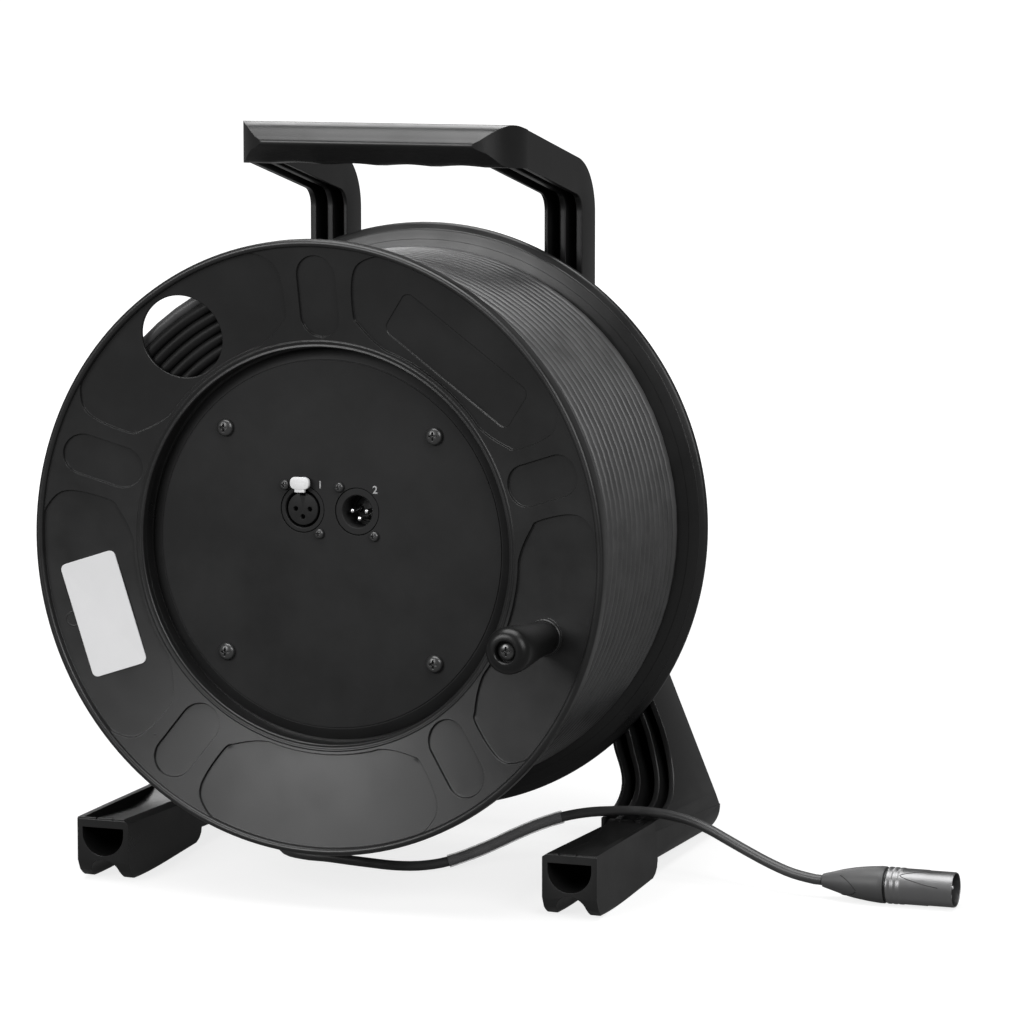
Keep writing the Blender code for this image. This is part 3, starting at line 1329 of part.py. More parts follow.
def make_plug(body, boot_material, shell_material, contact_material):
    place = plug_placement()
    ring = BOOT_LENGTH + PLUG_RING_LENGTH
    boot = lathe([
        (0.0, 0.0), (BOOT_TIP_RADIUS, 0.0), (BOOT_TIP_RADIUS + 0.0004, 0.0015), (0.0072, 0.0150),
        (0.0088, 0.0240), (PLUG_RADIUS, 0.0290), (PLUG_RADIUS, BOOT_LENGTH - 0.0006),
        (PLUG_RADIUS - 0.0006, BOOT_LENGTH), (0.0, BOOT_LENGTH)], HOLE_SEGMENTS)
    world_piece("plug_boot", boot, body, boot_material, place)
    collar = cylinder(PLUG_RADIUS - 0.0008, BOOT_LENGTH + GAP, ring - GAP)
    world_piece("plug_chuck", collar, body, boot_material, place)
    inside = PLUG_RADIUS - PLUG_WALL
    floor = PLUG_LENGTH - PLUG_INSERT_SETBACK - 0.008
    shell = lathe([
        (0.0, ring), (PLUG_RADIUS - 0.0004, ring), (PLUG_RADIUS, ring + 0.0006), (PLUG_RADIUS, PLUG_LENGTH - 0.0004),
        (PLUG_RADIUS - 0.0004, PLUG_LENGTH), (inside + 0.0002, PLUG_LENGTH), (inside, PLUG_LENGTH - 0.0003),
        (inside, floor), (0.0, floor)], HOLE_SEGMENTS)
    world_piece("plug_shell", shell, body, shell_material, place)
    insert_front = PLUG_LENGTH - PLUG_INSERT_SETBACK
    insert = cut(cylinder(inside - GAP, floor + GAP, insert_front),
                 contact_holes(PIN_RADIUS + GAP, floor - 0.01, PLUG_LENGTH))
    world_piece("plug_insert", insert, body, boot_material, place)
    tip = PLUG_LENGTH - PIN_SETBACK
    pin = turned(pin_shape(0.0, tip - floor - 0.001), 180, "Z")
    bmesh.ops.rotate(pin, cent=(0, 0, 0), matrix=place.to_3x3(), verts=pin.verts)
    places = [place @ Vector(spot) for spot in contact_places((0.0, tip, 0.0))]
    add_copies("plug_pin", pin, places, body, contact_material)


# Assembly

def build():
    clear_scene()
    black = make_material("black_plastic", (0.022, 0.022, 0.022), 0.45)
    rubber = make_material("cable_jacket", (0.02, 0.02, 0.02), 0.5)
    sleeve = make_material("sleeve_film", (0.12, 0.12, 0.12), 0.4)
    dark = make_material("connector_black", (0.015, 0.015, 0.015), 0.4)
    steel = make_material("blackened_steel", (0.05, 0.05, 0.05), 0.35, 0.8)
    zinc = make_material("zinc_steel", (0.55, 0.55, 0.55), 0.35, 1.0)
    silver = make_material("silver_contact", (0.85, 0.85, 0.85), 0.2, 1.0)
    white = make_material("label_white", (0.85, 0.85, 0.85), 0.5)
    grey = make_material("tab_grey", (0.75, 0.75, 0.75), 0.4)
    natural = make_material("bush_plastic", (0.6, 0.58, 0.52), 0.5)
    boot = make_material("boot_plastic", (0.09, 0.09, 0.09), 0.5)
    shell = make_material("plug_metal", (0.10, 0.10, 0.10), 0.3, 0.9)

    reel = bpy.data.objects.new("reel", None)
    bpy.context.scene.collection.objects.link(reel)
    reel.location = (0.0, -DEPTH_CENTRE, AXIS_HEIGHT)
    reel.rotation_euler = (-STANCE_TILT, 0.0, 0.0)
    frame = make_empty("frame_body", reel, (0.0, 0.0, 0.0))
    drum = make_empty("drum_axis", reel, (0.0, 0.0, 0.0))
    across, up = knob_centre()
    knob = make_empty("knob_axis", drum, (across, 0.0, up))
    tab_x, tab_z = tab_centre()
    tab = make_empty("tab_axis", drum, (tab_x, PANEL_FRONT, tab_z))
    floor = make_empty("floor_body", None, (0.0, 0.0, 0.0))

    make_handle_frame(frame, black)
    make_leg("left_leg", LEFT, frame, black)
    make_leg("right_leg", RIGHT, frame, black)
    make_rear_plate(frame, steel)
    make_plate_screws(frame, zinc)
    make_axle(frame, zinc)
    make_axle_screws(frame, zinc)
    make_axle_washer(frame, zinc)
    make_axle_nut(frame, zinc)

    make_front_flange(drum, black)
    make_rear_flange(drum, black)
    make_barrel(drum, black)
    make_bushes(drum, natural)
    make_cable_core(drum, rubber)
    make_winding(drum, rubber)
    make_label(drum, white)
    make_panel(drum, black)
    make_panel_screws(drum, steel)
    make_female_socket(drum, dark)
    make_female_insert(drum, dark)
    make_female_contacts(drum, silver)
    make_male_socket(drum, dark)
    make_male_insert(drum, dark)
    make_male_pins(drum, silver)
    make_socket_screws(drum, steel)
    make_inner_lead(drum, rubber)
    make_knob_bolt(drum, steel)
    make_push_tab(tab, grey)
    make_knob(knob, black)

    make_cord(floor, rubber, sleeve)
    make_plug(floor, boot, shell, silver)


build()
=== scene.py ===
"""Looks of the control cable reel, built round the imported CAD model.

Lengths are metres, and steps given to near() are millimetres. Pieces are drawn in the
drum's own frame, which has its origin at the centre of the front rim, +X to the right, +Y
along the drum's axis to the back and +Z up. STAND leans that frame back onto the reel's
feet. The free cable and its plug are drawn in world space.
"""
import math

import bmesh
import bpy
import numpy as np
from mathutils import Matrix, Vector
from mathutils.geometry import delaunay_2d_cdt


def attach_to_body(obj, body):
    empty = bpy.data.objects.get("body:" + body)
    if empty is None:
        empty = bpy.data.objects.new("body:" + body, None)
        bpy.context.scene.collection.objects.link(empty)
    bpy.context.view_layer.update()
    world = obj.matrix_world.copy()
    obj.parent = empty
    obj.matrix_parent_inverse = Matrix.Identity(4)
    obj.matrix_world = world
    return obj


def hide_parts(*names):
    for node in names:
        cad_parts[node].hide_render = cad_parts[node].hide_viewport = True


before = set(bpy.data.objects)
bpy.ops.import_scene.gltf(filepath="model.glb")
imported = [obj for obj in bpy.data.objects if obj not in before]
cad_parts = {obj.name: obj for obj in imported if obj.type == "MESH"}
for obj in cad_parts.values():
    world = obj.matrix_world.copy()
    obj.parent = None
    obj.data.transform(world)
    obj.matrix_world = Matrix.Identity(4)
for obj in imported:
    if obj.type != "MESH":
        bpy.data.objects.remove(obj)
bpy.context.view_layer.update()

# Stance
STANCE_TILT = math.radians(5.166)
AXIS_HEIGHT = 0.1837
DEPTH_CENTRE = 0.0786
GAP = 0.0003
STAND = Matrix.Translation((0.0, -DEPTH_CENTRE, AXIS_HEIGHT)) @ Matrix.Rotation(-STANCE_TILT, 4, "X")
LEFT = -1
RIGHT = 1

# Camera, in the drum's frame
CAMERA_PLACE = (0.9746, -2.1670, 0.3119)
CAMERA_AXES = ((0.9284, 0.3715, 0.0), (-0.0455, 0.1136, 0.9924), (0.3687, -0.9214, 0.1224))
CAMERA_LENS = 168.7

# Studio
LIGHT_TARGET = (0.0, 0.0, 0.18)
LIGHTS = {                     # place, size and power
    "key": ((-0.62, -1.38, 0.86), (0.85, 0.62), 12.0),
    "top": ((0.0, -0.10, 1.60), (1.3, 1.1), 24.0),
    "fill": ((1.55, -1.00, 1.15), (1.0, 1.0), 16.0),
    "back": ((-0.95, 1.55, 1.35), (0.9, 0.9), 9.0),
}
FLOOR_HALF = 12.0
FLOOR_GLOSSY = 0.13            # share of the white floor that glossy rays see
WORLD_GLOSSY = 0.05

# Drum
FLANGE_RADIUS = 0.155
DRUM_WIDTH = 0.1554
RIM_WIDTH = 0.0038
RIM_RISE = 0.0024
RIM_DEPTH = 0.0082
RIM_BEAD = 0.0019
RIM_INSIDE = FLANGE_RADIUS - RIM_WIDTH
FACE_DROP = 0.0116
FLANGE_WALL = 0.0031
MOUTH_RADIUS = 0.1003
CONE_SLOPE = FACE_DROP / (RIM_INSIDE - MOUTH_RADIUS)
BARREL_RADIUS = 0.104
BARREL_WALL = 0.0035
POCKET_DEPTH = 0.0015
POCKET_COUNT = 5
POCKET_ANGLE = 54.0
POCKET_INNER = 0.1054
POCKET_OUTER = 0.1530
SLOT_LENGTH = 0.0415
SLOT_WIDTH = 0.0212
SLOT_RADIUS = 0.1262
WINDOW_RADIUS = 0.021
WINDOW_ANGLE = 126.0
WINDOW_DISTANCE = 0.1282
WINDOW_LIP = 0.0005            # width of the rounded edge
WINDOW_LIP_DROP = 0.0004
WINDOW_STEPS = 96
PLATE_WIDTH = 0.0815
PLATE_HEIGHT = 0.025
PLATE_DISTANCE = 0.1215
PLATE_STEP = 0.0006
PLATE_SHIFT = 0.0030
LABEL_WIDTH = 0.060
LABEL_HEIGHT = 0.0287
LABEL_DISTANCE = 0.1269
LABEL_THICKNESS = 0.0004
LABEL_ANGLE = 198.2
EDGE_START = 0.00014           # where a pocket's step begins, outside its outline
EDGE_WIDTH = 0.00058           # across the rounded step
STEP_SHARES = (0.0, 0.16, 0.36, 0.5, 0.64, 0.84, 1.0)
FACE_INNER = 0.1036
FACE_OUTER = 0.1515
FINE = 192                     # steps round the drum
ROUND = 64                     # steps round small turned pieces

# Cable
TURN_DIAMETER = 0.00615
TURN_SHOWN = 0.0064            # the jacket as seen in the winding
TURN_PITCH = 0.00665
TURN_RADIUS = 0.1399
POINTS_PER_TURN = 72
FADE_POINTS = 20               # over which the last turn narrows to the free cable
LEAVE_ANGLE = 210.0
LAYER_PITCH = 0.00548
LAYER_COUNT = 6
TAIL_DIAMETER = 0.0052
SLEEVE_WALL = 0.0005
SLEEVE_GAP = 0.0003
SLEEVE_START = 0.0368
SLEEVE_END = 0.0935

# Panel and connectors
PANEL_FRONT = 0.0218
PANEL_THICKNESS = 0.003
PANEL_BACK = PANEL_FRONT + PANEL_THICKNESS
PANEL_RADIUS = 0.0992
PANEL_CHAMFER = 0.0058
PANEL_SCREW_PITCH = 0.1146
SHELF_INNER_RADIUS = 0.070
SHELF_THICKNESS = 0.003
SOCKET_SPACING = 0.030
FEMALE_X = -SOCKET_SPACING / 2
MALE_X = SOCKET_SPACING / 2
SOCKET_HEIGHT = 0.0175
SOCKET_FRONT = PANEL_FRONT + 0.0002
SOCKET_RADIUS = 0.0118
SOCKET_HOLE_RADIUS = 0.0121
SOCKET_DEPTH = 0.022
SOCKET_BACK = SOCKET_FRONT + SOCKET_DEPTH
SOCKET_SCREW_X = 0.0095
SOCKET_SCREW_Z = 0.0120
INSERT_RADIUS = 0.0082
GROOVE_RADIUS = 0.0095
CAVITY_RADIUS = 0.0081
CAVITY_DEPTH = 0.0135
CONTACT_RADIUS = 0.0039
PIN_RADIUS = 0.0012
PIN_NOSE = 0.0009
PIN_SETBACK = 0.0022
TAB_WIDTH = 0.0104
TAB_HEIGHT = 0.0062
TAB_CENTRE_Z = SOCKET_HEIGHT + 0.0134
TAB_NECK_WIDTH = 0.0054
TAB_PROUD = 0.0040
TAB_TRAVEL = 0.0015

# Crank knob
KNOB_ANGLE = 342.5
KNOB_DISTANCE = 0.1274
KNOB_LENGTH = 0.0500
KNOB_TIP_RADIUS = 0.0116
KNOB_TIP_ROUND = 0.0052
KNOB_BASE_RADIUS = 0.0085
KNOB_RECESS_RADIUS = 0.0052
KNOB_RECESS_DEPTH = 0.0040
KNOB_BORE_RADIUS = 0.0043

# Bearing
AXLE_RADIUS = 0.009
AXLE_FLANGE_RADIUS = 0.030
AXLE_FLANGE_THICKNESS = 0.005
HUB_FRONT = 0.070
HUB_BORE_RADIUS = 0.013
HUB_WALL = 0.0045
HUB_COLLAR_RISE = 0.001
WEB_SETBACK = 0.014
WEB_WALL = 0.003
HUB_BACK = DRUM_WIDTH - WEB_SETBACK + HUB_COLLAR_RISE
BUSH_FLANGE_RADIUS = 0.016
BUSH_FLANGE_THICKNESS = 0.002
BUSH_LENGTH = 0.018

# Frame
FRAME_BACK = 0.1924
FRAME_WALL = 0.0034
FRAME_INNER_WALL = 0.0020
FRAME_RIB = 0.0032
FRAME_WEB = 0.0030
RIB_SETBACK = 0.0008
UPRIGHT_OUTER = 0.0778
UPRIGHT_WIDTH = 0.0214
UPRIGHT_FRONT = 0.1730
LEG_TOP = 0.018
LEG_SPLAY = 0.4206
LEG_WIDTH = 0.0318
LEG_SWEEP_START = -0.101
LEG_FRONT = 0.1577
LEG_CORNER_RADIUS = 0.016
LEG_BLOCK_TOP = -0.151
LEG_BOTTOM = -0.168
HEEL_START = 0.182
ARM_SLOPE = math.tan(math.radians(13.4))
ARM_TOP = 0.2067
ARM_DEPTH = 0.0196
ARM_TAPER = 0.0013             # the arm's root lies this far inside the grip
ARM_FLUSH = 0.00001
BEND_RADIUS = 0.0308
INNER_BEND_RADIUS = 0.010
GRIP_NOSE = 0.0676
GRIP_BACK = 0.096
GRIP_BOTTOM = 0.1878
GRIP_CORNER_RADIUS = 0.0299
GRIP_CORNER_START = math.radians(20)
FINGER_WIDTH = 0.030
FINGER_DEPTH = 0.0008
FINGER_COUNT = 4
FINGER_STEPS = 10

# Feet
FOOT_FRONT = 0.022
FOOT_OUTER = 0.1439
FOOT_WIDTH = 0.0292
FOOT_INNER = FOOT_OUTER - FOOT_WIDTH
FOOT_TOP = -0.149
FOOT_TOP_REAR = -0.146
SKID_START = 0.0336
SKID_END = 0.1033
SKID_REAR = 0.110
TOE_RADIUS = 0.0032
ARCH_TOP = -0.1704
FOOT_HOLE_WIDTH = 0.0234
FOOT_HOLE_TOP = -0.1539
FOOT_HOLE_DEPTH = 0.050
TRAY_REAR = 0.112

# Rear plate
PLATE_BACK_THICKNESS = 0.004
PLATE_TOP = 0.070
PLATE_BOTTOM = -0.055
PLATE_HALF_WIDTH = 0.0745
PLATE_WAIST = 0.030
PLATE_SCREW_HEIGHTS = (0.056, 0.034, -0.004, -0.030)
PLATE_SCREW_RADIUS = 0.0020
AXLE_SCREW_CIRCLE = 0.0225

# Plug
PLUG_RADIUS = 0.0093
PLUG_LENGTH = 0.0693
BOOT_LENGTH = 0.0335
PLUG_RING_LENGTH = 0.0014
PLUG_WALL = 0.0011
PLUG_INSERT_SETBACK = 0.0150
PLUG_LINE_WIDTH = 0.00036
PLUG_ENTRY = (0.2390, -0.0024, 0.0094)
PLUG_HEADING = math.radians(0.6)

# The free end's route over the floor and the right foot, as in the part's source
TAIL_ROUTE = (
    (-0.0900, 0.0415, 0.0463), (-0.0760, 0.0234, 0.0239), (-0.0660, 0.0071, 0.0090),
    (-0.0577, -0.0030, 0.0040), (-0.0473, -0.0068, 0.0029), (-0.0296, -0.0085, 0.0029),
    (-0.0109, -0.0116, 0.0029), (0.0127, -0.0139, 0.0030), (0.0282, -0.0105, 0.0037),
    (0.0363, -0.0070, 0.0052), (0.0519, 0.0005, 0.0104), (0.0713, 0.0085, 0.0193),
    (0.0838, 0.0124, 0.0245), (0.0933, 0.0146, 0.0275), (0.1076, 0.0158, 0.0306),
    (0.1243, 0.0154, 0.0325), (0.1410, 0.0148, 0.0333), (0.1577, 0.0134, 0.0317),
    (0.1693, 0.0113, 0.0294), (0.1809, 0.0085, 0.0254), (0.1926, 0.0055, 0.0210),
    (0.2042, 0.0026, 0.0169), (0.2156, 0.0001, 0.0131), (0.2262, -0.0017, 0.0107),
)


# Materials

def fill_inputs(tree, item, inputs):
    """Give a node's inputs numbers, or sockets to link. Returns its outputs."""
    for key, value in inputs.items():
        if isinstance(value, bpy.types.NodeSocket):
            tree.links.new(value, item.inputs[key])
        else:
            item.inputs[key].default_value = value
    return item.outputs


def add_node(tree, kind, inputs=None, **settings):
    item = tree.nodes.new(kind)
    for key, value in settings.items():
        setattr(item, key, value)
    return fill_inputs(tree, item, inputs or {})


def new_material(name):
    material = bpy.data.materials.new(name)
    material.use_nodes = True
    tree = material.node_tree
    place = add_node(tree, "ShaderNodeTexCoord")["Object"]
    return material, tree, tree.nodes["Principled BSDF"], place


def noise(tree, place, scale, detail=2.0, roughness=0.5):
    return add_node(tree, "ShaderNodeTexNoise", {
        "Vector": place, "Scale": scale, "Detail": detail, "Roughness": roughness})["Fac"]


def remap(tree, value, low, high, to_low, to_high):
    limits = {"From Min": low, "From Max": high, "To Min": to_low, "To Max": to_high}
    return add_node(tree, "ShaderNodeMapRange", {"Value": value, **limits})["Result"]


def combine(tree, operation, first, second):
    return add_node(tree, "ShaderNodeMath", {0: first, 1: second}, operation=operation)[0]


def blend_colours(tree, share, *colours):
    """Mix two colours, each a tuple or a socket."""
    first, second = (colour if isinstance(colour, bpy.types.NodeSocket) else (*colour, 1.0)
                     for colour in colours)
    return add_node(tree, "ShaderNodeMix", {"Factor": share, 6: first, 7: second}, data_type="RGBA")[2]


def grey(value):
    return (value, value, value * 1.01)


def surface(name, colour, roughness, metallic=0.0, grain=1500.0, grain_depth=0.00002, cloud=24.0,
            shade=0.14, wear=0.30, worn=None, scratch=0.0, specular=0.5):
    """Solid material with fine grain, uneven gloss, faint dirt and worn edges."""
    material, tree, shader, place = new_material(name)
    clouds = noise(tree, place, cloud, 5.0, 0.6)
    fine = noise(tree, place, grain, 2.0, 0.6)
    speckle = noise(tree, place, grain * 0.23, 3.0, 0.7)
    darker, lighter = (tuple(part * factor for part in colour) for factor in (1.0 - shade, 1.0 + shade))
    coloured = blend_colours(tree, remap(tree, clouds, 0.35, 0.65, 0.0, 1.0), darker, lighter)
    rounded = add_node(tree, "ShaderNodeBevel", {"Radius": 0.00035}, samples=4)["Normal"]
    true_normal = add_node(tree, "ShaderNodeNewGeometry")["Normal"]
    facing = add_node(tree, "ShaderNodeVectorMath", {0: rounded, 1: true_normal},
                      operation="DOT_PRODUCT")["Value"]
    bare = combine(tree, "MULTIPLY", remap(tree, facing, 0.985, 0.80, 0.0, wear),
                   remap(tree, speckle, 0.35, 0.60, 0.25, 1.0))
    worn = worn or tuple(min(1.0, part * 2.6 + 0.01) for part in colour)
    coloured = blend_colours(tree, bare, coloured, worn)
    if scratch:
        stretched = add_node(tree, "ShaderNodeMapping", {
            "Vector": place, "Scale": (1.0, 9.0, 2.2), "Rotation": (0.4, 0.3, 0.7)})["Vector"]
        marks = remap(tree, noise(tree, stretched, 180.0, 6.0, 0.75), 0.66, 0.72, 0.0, scratch)
        coloured = blend_colours(tree, marks, coloured, worn)
    bump = add_node(tree, "ShaderNodeBump", {
        "Strength": 0.6, "Distance": grain_depth, "Height": combine(tree, "ADD", fine, speckle),
        "Normal": rounded})
    fill_inputs(tree, shader, {
        "Base Color": coloured, "Metallic": metallic, "Specular IOR Level": specular,
        "Roughness": remap(tree, clouds, 0.30, 0.70, roughness - 0.07, roughness + 0.07),
        "Normal": bump["Normal"]})
    return material


def film(name):
    """Milky shrink sleeve: see-through enough to show the cable inside."""
    material, tree, shader, place = new_material(name)
    clouds = noise(tree, place, 60.0)
    wrinkles = add_node(tree, "ShaderNodeBump", {
        "Strength": 0.3, "Distance": 0.0001, "Height": noise(tree, place, 300.0)})
    fill_inputs(tree, shader, {
        "Base Color": blend_colours(tree, clouds, (0.24, 0.24, 0.245), (0.34, 0.34, 0.345)),
        "Roughness": remap(tree, clouds, 0.3, 0.7, 0.32, 0.48),
        "Alpha": remap(tree, noise(tree, place, 120.0), 0.3, 0.7, 0.26, 0.40),
        "Normal": wrinkles["Normal"]})
    return material


def seen_share(tree, glossy):
    """1 for camera and transmission rays and a share of that for glossy rays."""
    rays = add_node(tree, "ShaderNodeLightPath")
    direct = combine(tree, "MAXIMUM", rays["Is Camera Ray"], rays["Is Transmission Ray"])
    return combine(tree, "MAXIMUM", direct, combine(tree, "MULTIPLY", rays["Is Glossy Ray"], glossy))


def floor_material():
    """White to the camera, duller in reflections and bounced light, with the shadow kept."""
    material, tree, shader, place = new_material("studio_floor")
    tree.nodes.remove(shader)
    seen = seen_share(tree, FLOOR_GLOSSY)
    away = add_node(tree, "ShaderNodeVectorMath", {0: place}, operation="LENGTH")["Value"]
    paint = add_node(tree, "ShaderNodeBsdfDiffuse", {
        "Color": blend_colours(tree, seen, (0.12, 0.12, 0.12), (0.27, 0.27, 0.27))})
    glow = add_node(tree, "ShaderNodeEmission", {
        "Strength": combine(tree, "MULTIPLY", seen, remap(tree, away, 0.45, 1.20, 0.80, 1.08))})
    both = add_node(tree, "ShaderNodeAddShader", {0: paint[0], 1: glow[0]})
    tree.links.new(both[0], tree.nodes["Material Output"].inputs["Surface"])
    return material


BLACK = surface("moulded_black", grey(0.0105), 0.34, scratch=0.08)
# The knob's black plastic with painted shade: coloured darker than the moulded black to take back light
# the lamps put on the knob.
KNOB_SHADED_BLACK = surface("knob_black_shaded", grey(0.0050), 0.38, scratch=0.05, specular=0.34)
PANEL_BLACK = surface("panel_black", grey(0.0200), 0.46, grain=1900.0, scratch=0.06, specular=0.16)
JACKET = surface("pvc_jacket", grey(0.0600), 0.38, grain=900.0, cloud=60.0, wear=0.0, scratch=0.06,
                 specular=0.55)
# Same PVC jacket as JACKET with painted shade: the inner layers and the core's plain middle are
# coloured far darker for the shade inside the drum.
SHADED_JACKET = surface("shaded_jacket", grey(0.0080), 0.46, grain=900.0, cloud=60.0, wear=0.0,
                       specular=0.22)
SLEEVE = film("shrink_film")
DARK = surface("socket_black", grey(0.005), 0.42, grain=2200.0, wear=0.1)
STEEL = surface("blackened_steel", grey(0.022), 0.30, grain=2600.0, wear=0.35, specular=0.95,
                worn=(0.14, 0.14, 0.14))
PLATE = surface("coated_plate", grey(0.030), 0.42, metallic=0.3, grain=1100.0, grain_depth=0.00005,
                wear=0.4, worn=(0.20, 0.20, 0.20), scratch=0.2)
ZINC = surface("zinc_steel", grey(0.50), 0.32, metallic=1.0, grain=700.0, shade=0.10, wear=0.2)
SILVER = surface("plated_contact", grey(0.86), 0.22, metallic=1.0, grain=3000.0, shade=0.06, wear=0.1)
PAPER = surface("label_paper", grey(0.76), 0.50, grain=2400.0, grain_depth=0.00001, shade=0.02,
                wear=0.15, worn=(0.55, 0.55, 0.55))
GREY = surface("tab_grey", grey(0.86), 0.36, grain=1800.0, shade=0.03, wear=0.15, worn=(0.5, 0.5, 0.5))
NATURAL = surface("bush_nylon", (0.60, 0.57, 0.50), 0.50, shade=0.05, wear=0.1, worn=(0.4, 0.38, 0.33))
RUBBER = surface("boot_rubber", grey(0.080), 0.50, grain=1300.0)
SHELL = surface("plug_metal", grey(0.25), 0.43, metallic=1.0, grain=2400.0, grain_depth=0.000006,
                wear=0.3, worn=(0.4, 0.4, 0.4), shade=0.05)
INK = surface("numeral_ink", grey(0.42), 0.55, grain=2000.0, shade=0.08, wear=0.0)


# Camera, floor and lights

def shown(name, data):
    """New object in the scene."""
    item = bpy.data.objects.new(name, data)
    bpy.context.scene.collection.objects.link(item)
    return item


def make_camera():
    camera = shown("camera", bpy.data.cameras.new("camera"))
    camera.data.lens = CAMERA_LENS
    camera.data.clip_end = 50.0
    columns = Matrix(CAMERA_AXES).transposed().to_4x4()
    columns.translation = CAMERA_PLACE
    camera.matrix_world = STAND @ columns
    bpy.context.scene.camera = camera


def make_studio():
    scene = bpy.context.scene
    scene.view_settings.view_transform = "Standard"
    scene.world = bpy.data.worlds.new("studio")
    scene.world.use_nodes = True
    tree = scene.world.node_tree
    strength = remap(tree, seen_share(tree, WORLD_GLOSSY), 0.0, 1.0, 0.12, 1.0)
    fill_inputs(tree, tree.nodes["Background"], {"Strength": strength, "Color": (1.0, 1.0, 1.0, 1.0)})
    mesh = bpy.data.meshes.new("floor")
    corners = ((-1, -1), (1, -1), (1, 1), (-1, 1))
    mesh.from_pydata([(x * FLOOR_HALF, y * FLOOR_HALF, 0) for x, y in corners], [], [(0, 1, 2, 3)])
    mesh.materials.append(floor_material())
    floor = shown("floor", mesh)
    for name, (place, size, power) in LIGHTS.items():
        light = bpy.data.lights.new(name, "AREA")
        light.shape = "RECTANGLE"
        light.size, light.size_y = size
        light.energy = power
        item = shown(name, light)
        item.location = place
        item.rotation_euler = (Vector(LIGHT_TARGET) - Vector(place)).to_track_quat("-Z", "Y").to_euler()


# Shape helpers

def near(across, along, *steps):
    """Points at steps in millimetres from one point."""
    return [(across + x / 1000, along + y / 1000) for x, y in steps]


def polar(radius, degrees):
    angle = math.radians(degrees)
    return radius * math.cos(angle), radius * math.sin(angle)


def arc(centre, radius, start, end, steps):
    """Points of an arc from start to end in degrees, both ends kept."""
    points = [polar(radius, start + (end - start) * step / steps) for step in range(steps + 1)]
    return [(centre[0] + across, centre[1] + up) for across, up in points]


def circle(radius, steps, centre=(0.0, 0.0)):
    return arc(centre, radius, 0, 360, steps)[:-1]


def bezier(start, middle, end, share):
    return tuple(start * (1 - share) ** 2 + middle * 2 * share * (1 - share) + end * share ** 2)


def rounded_loop(corners, radii, steps=3):
    """Replace each corner of a closed outline by a short curve."""
    if not isinstance(radii, (list, tuple)):
        radii = [radii] * len(corners)
    loop = []
    for index, corner in enumerate(corners):
        here = Vector(corner)
        before = Vector(corners[index - 1]) - here
        after = Vector(corners[(index + 1) % len(corners)]) - here
        half = before.angle(after, math.pi) / 2
        reach = min(radii[index] / max(math.tan(half), 1e-6), 0.45 * before.length, 0.45 * after.length)
        start = here + before.normalized() * reach
        end = here + after.normalized() * reach
        loop += [bezier(start, here, end, step / steps) for step in range(steps + 1)]
    return loop


def rounded_rectangle(width, height, radius, steps=6):
    corners = []
    for across, up, start in ((1, 1, 0), (-1, 1, 90), (-1, -1, 180), (1, -1, 270)):
        centre = (across * (width / 2 - radius), up * (height / 2 - radius))
        corners += arc(centre, radius, start, start + 90, steps)
    return corners


def placed(outline, distance, degrees):
    """Lay an outline on the drum's face: its height points outwards along a radius."""
    cosine, sine = polar(1.0, degrees)
    return [(cosine * (distance + v) + sine * u, sine * (distance + v) - cosine * u)
            for u, v in outline]


def lathe(outline, segments=ROUND):
    """Turn a closed outline of (radius, depth) about the drum's axis."""
    shape = bmesh.new()
    corners = [shape.verts.new((radius, depth, 0.0)) for radius, depth in outline]
    edges = [shape.edges.new(pair) for pair in zip(corners, corners[1:] + corners[:1])]
    bmesh.ops.spin(shape, geom=corners + edges, cent=(0, 0, 0), axis=(0, 1, 0), dvec=(0, 0, 0),
                   angle=2 * math.pi, steps=segments, use_merge=True)
    bmesh.ops.remove_doubles(shape, verts=shape.verts, dist=1e-7)
    bmesh.ops.dissolve_degenerate(shape, edges=shape.edges, dist=1e-7)
    loose = [edge for edge in shape.edges if not edge.link_faces]
    bmesh.ops.delete(shape, geom=loose, context="EDGES")
    bmesh.ops.recalc_face_normals(shape, faces=shape.faces)
    return shape


def add_band(shape, first, second):
    """Faces between two loops with equal point counts."""
    for index in range(len(first)):
        after = (index + 1) % len(first)
        shape.faces.new((first[index], first[after], second[after], second[index]))


def loft(sections):
    """Join a row of loops with equal point counts and close both ends."""
    shape = bmesh.new()
    loops = [[shape.verts.new(point) for point in section] for section in sections]
    for first, second in zip(loops, loops[1:]):
        add_band(shape, first, second)
    shape.faces.new(loops[0])
    shape.faces.new(loops[-1])
    bmesh.ops.recalc_face_normals(shape, faces=shape.faces)
    return shape


def prism(outline, front, back):
    """Extrude an (x, z) outline along the drum's axis."""
    return loft([[(x, depth, z) for x, z in outline] for depth in (front, back)])


def side_prism(outline, inner, outer):
    return loft([[(x, y, z) for y, z in outline] for x in (inner, outer)])


def plan_prism(outline, bottom, top):
    return loft([[(x, y, z) for x, y in outline] for z in (bottom, top)])


def inset(outline, distance):
    """Move a dense outline inwards."""
    points = np.array(outline)
    tangent = np.roll(points, -1, axis=0) - np.roll(points, 1, axis=0)
    tangent /= np.maximum(np.linalg.norm(tangent, axis=1, keepdims=True), 1e-12)
    normal = np.stack([-tangent[:, 1], tangent[:, 0]], axis=1)
    x, y = points[:, 0], points[:, 1]
    turning = np.sum(x * np.roll(y, -1) - np.roll(x, -1) * y)
    return points + normal * distance * (1.0 if turning > 0 else -1.0)


def soft_prism(outline, front, back, edge):
    """Extruded outline with rounded rims at both ends."""
    rim = [(edge * (1 - math.sin(lean)), edge * (1 - math.cos(lean)))
           for lean in map(math.radians, (0, 30, 60, 90))]
    rows = [(front + ahead, shrink) for ahead, shrink in reversed(rim)]
    rows += [(back - ahead, shrink) for ahead, shrink in rim]
    return loft([[(x, depth, z) for x, z in inset(outline, shrink)] for depth, shrink in rows])


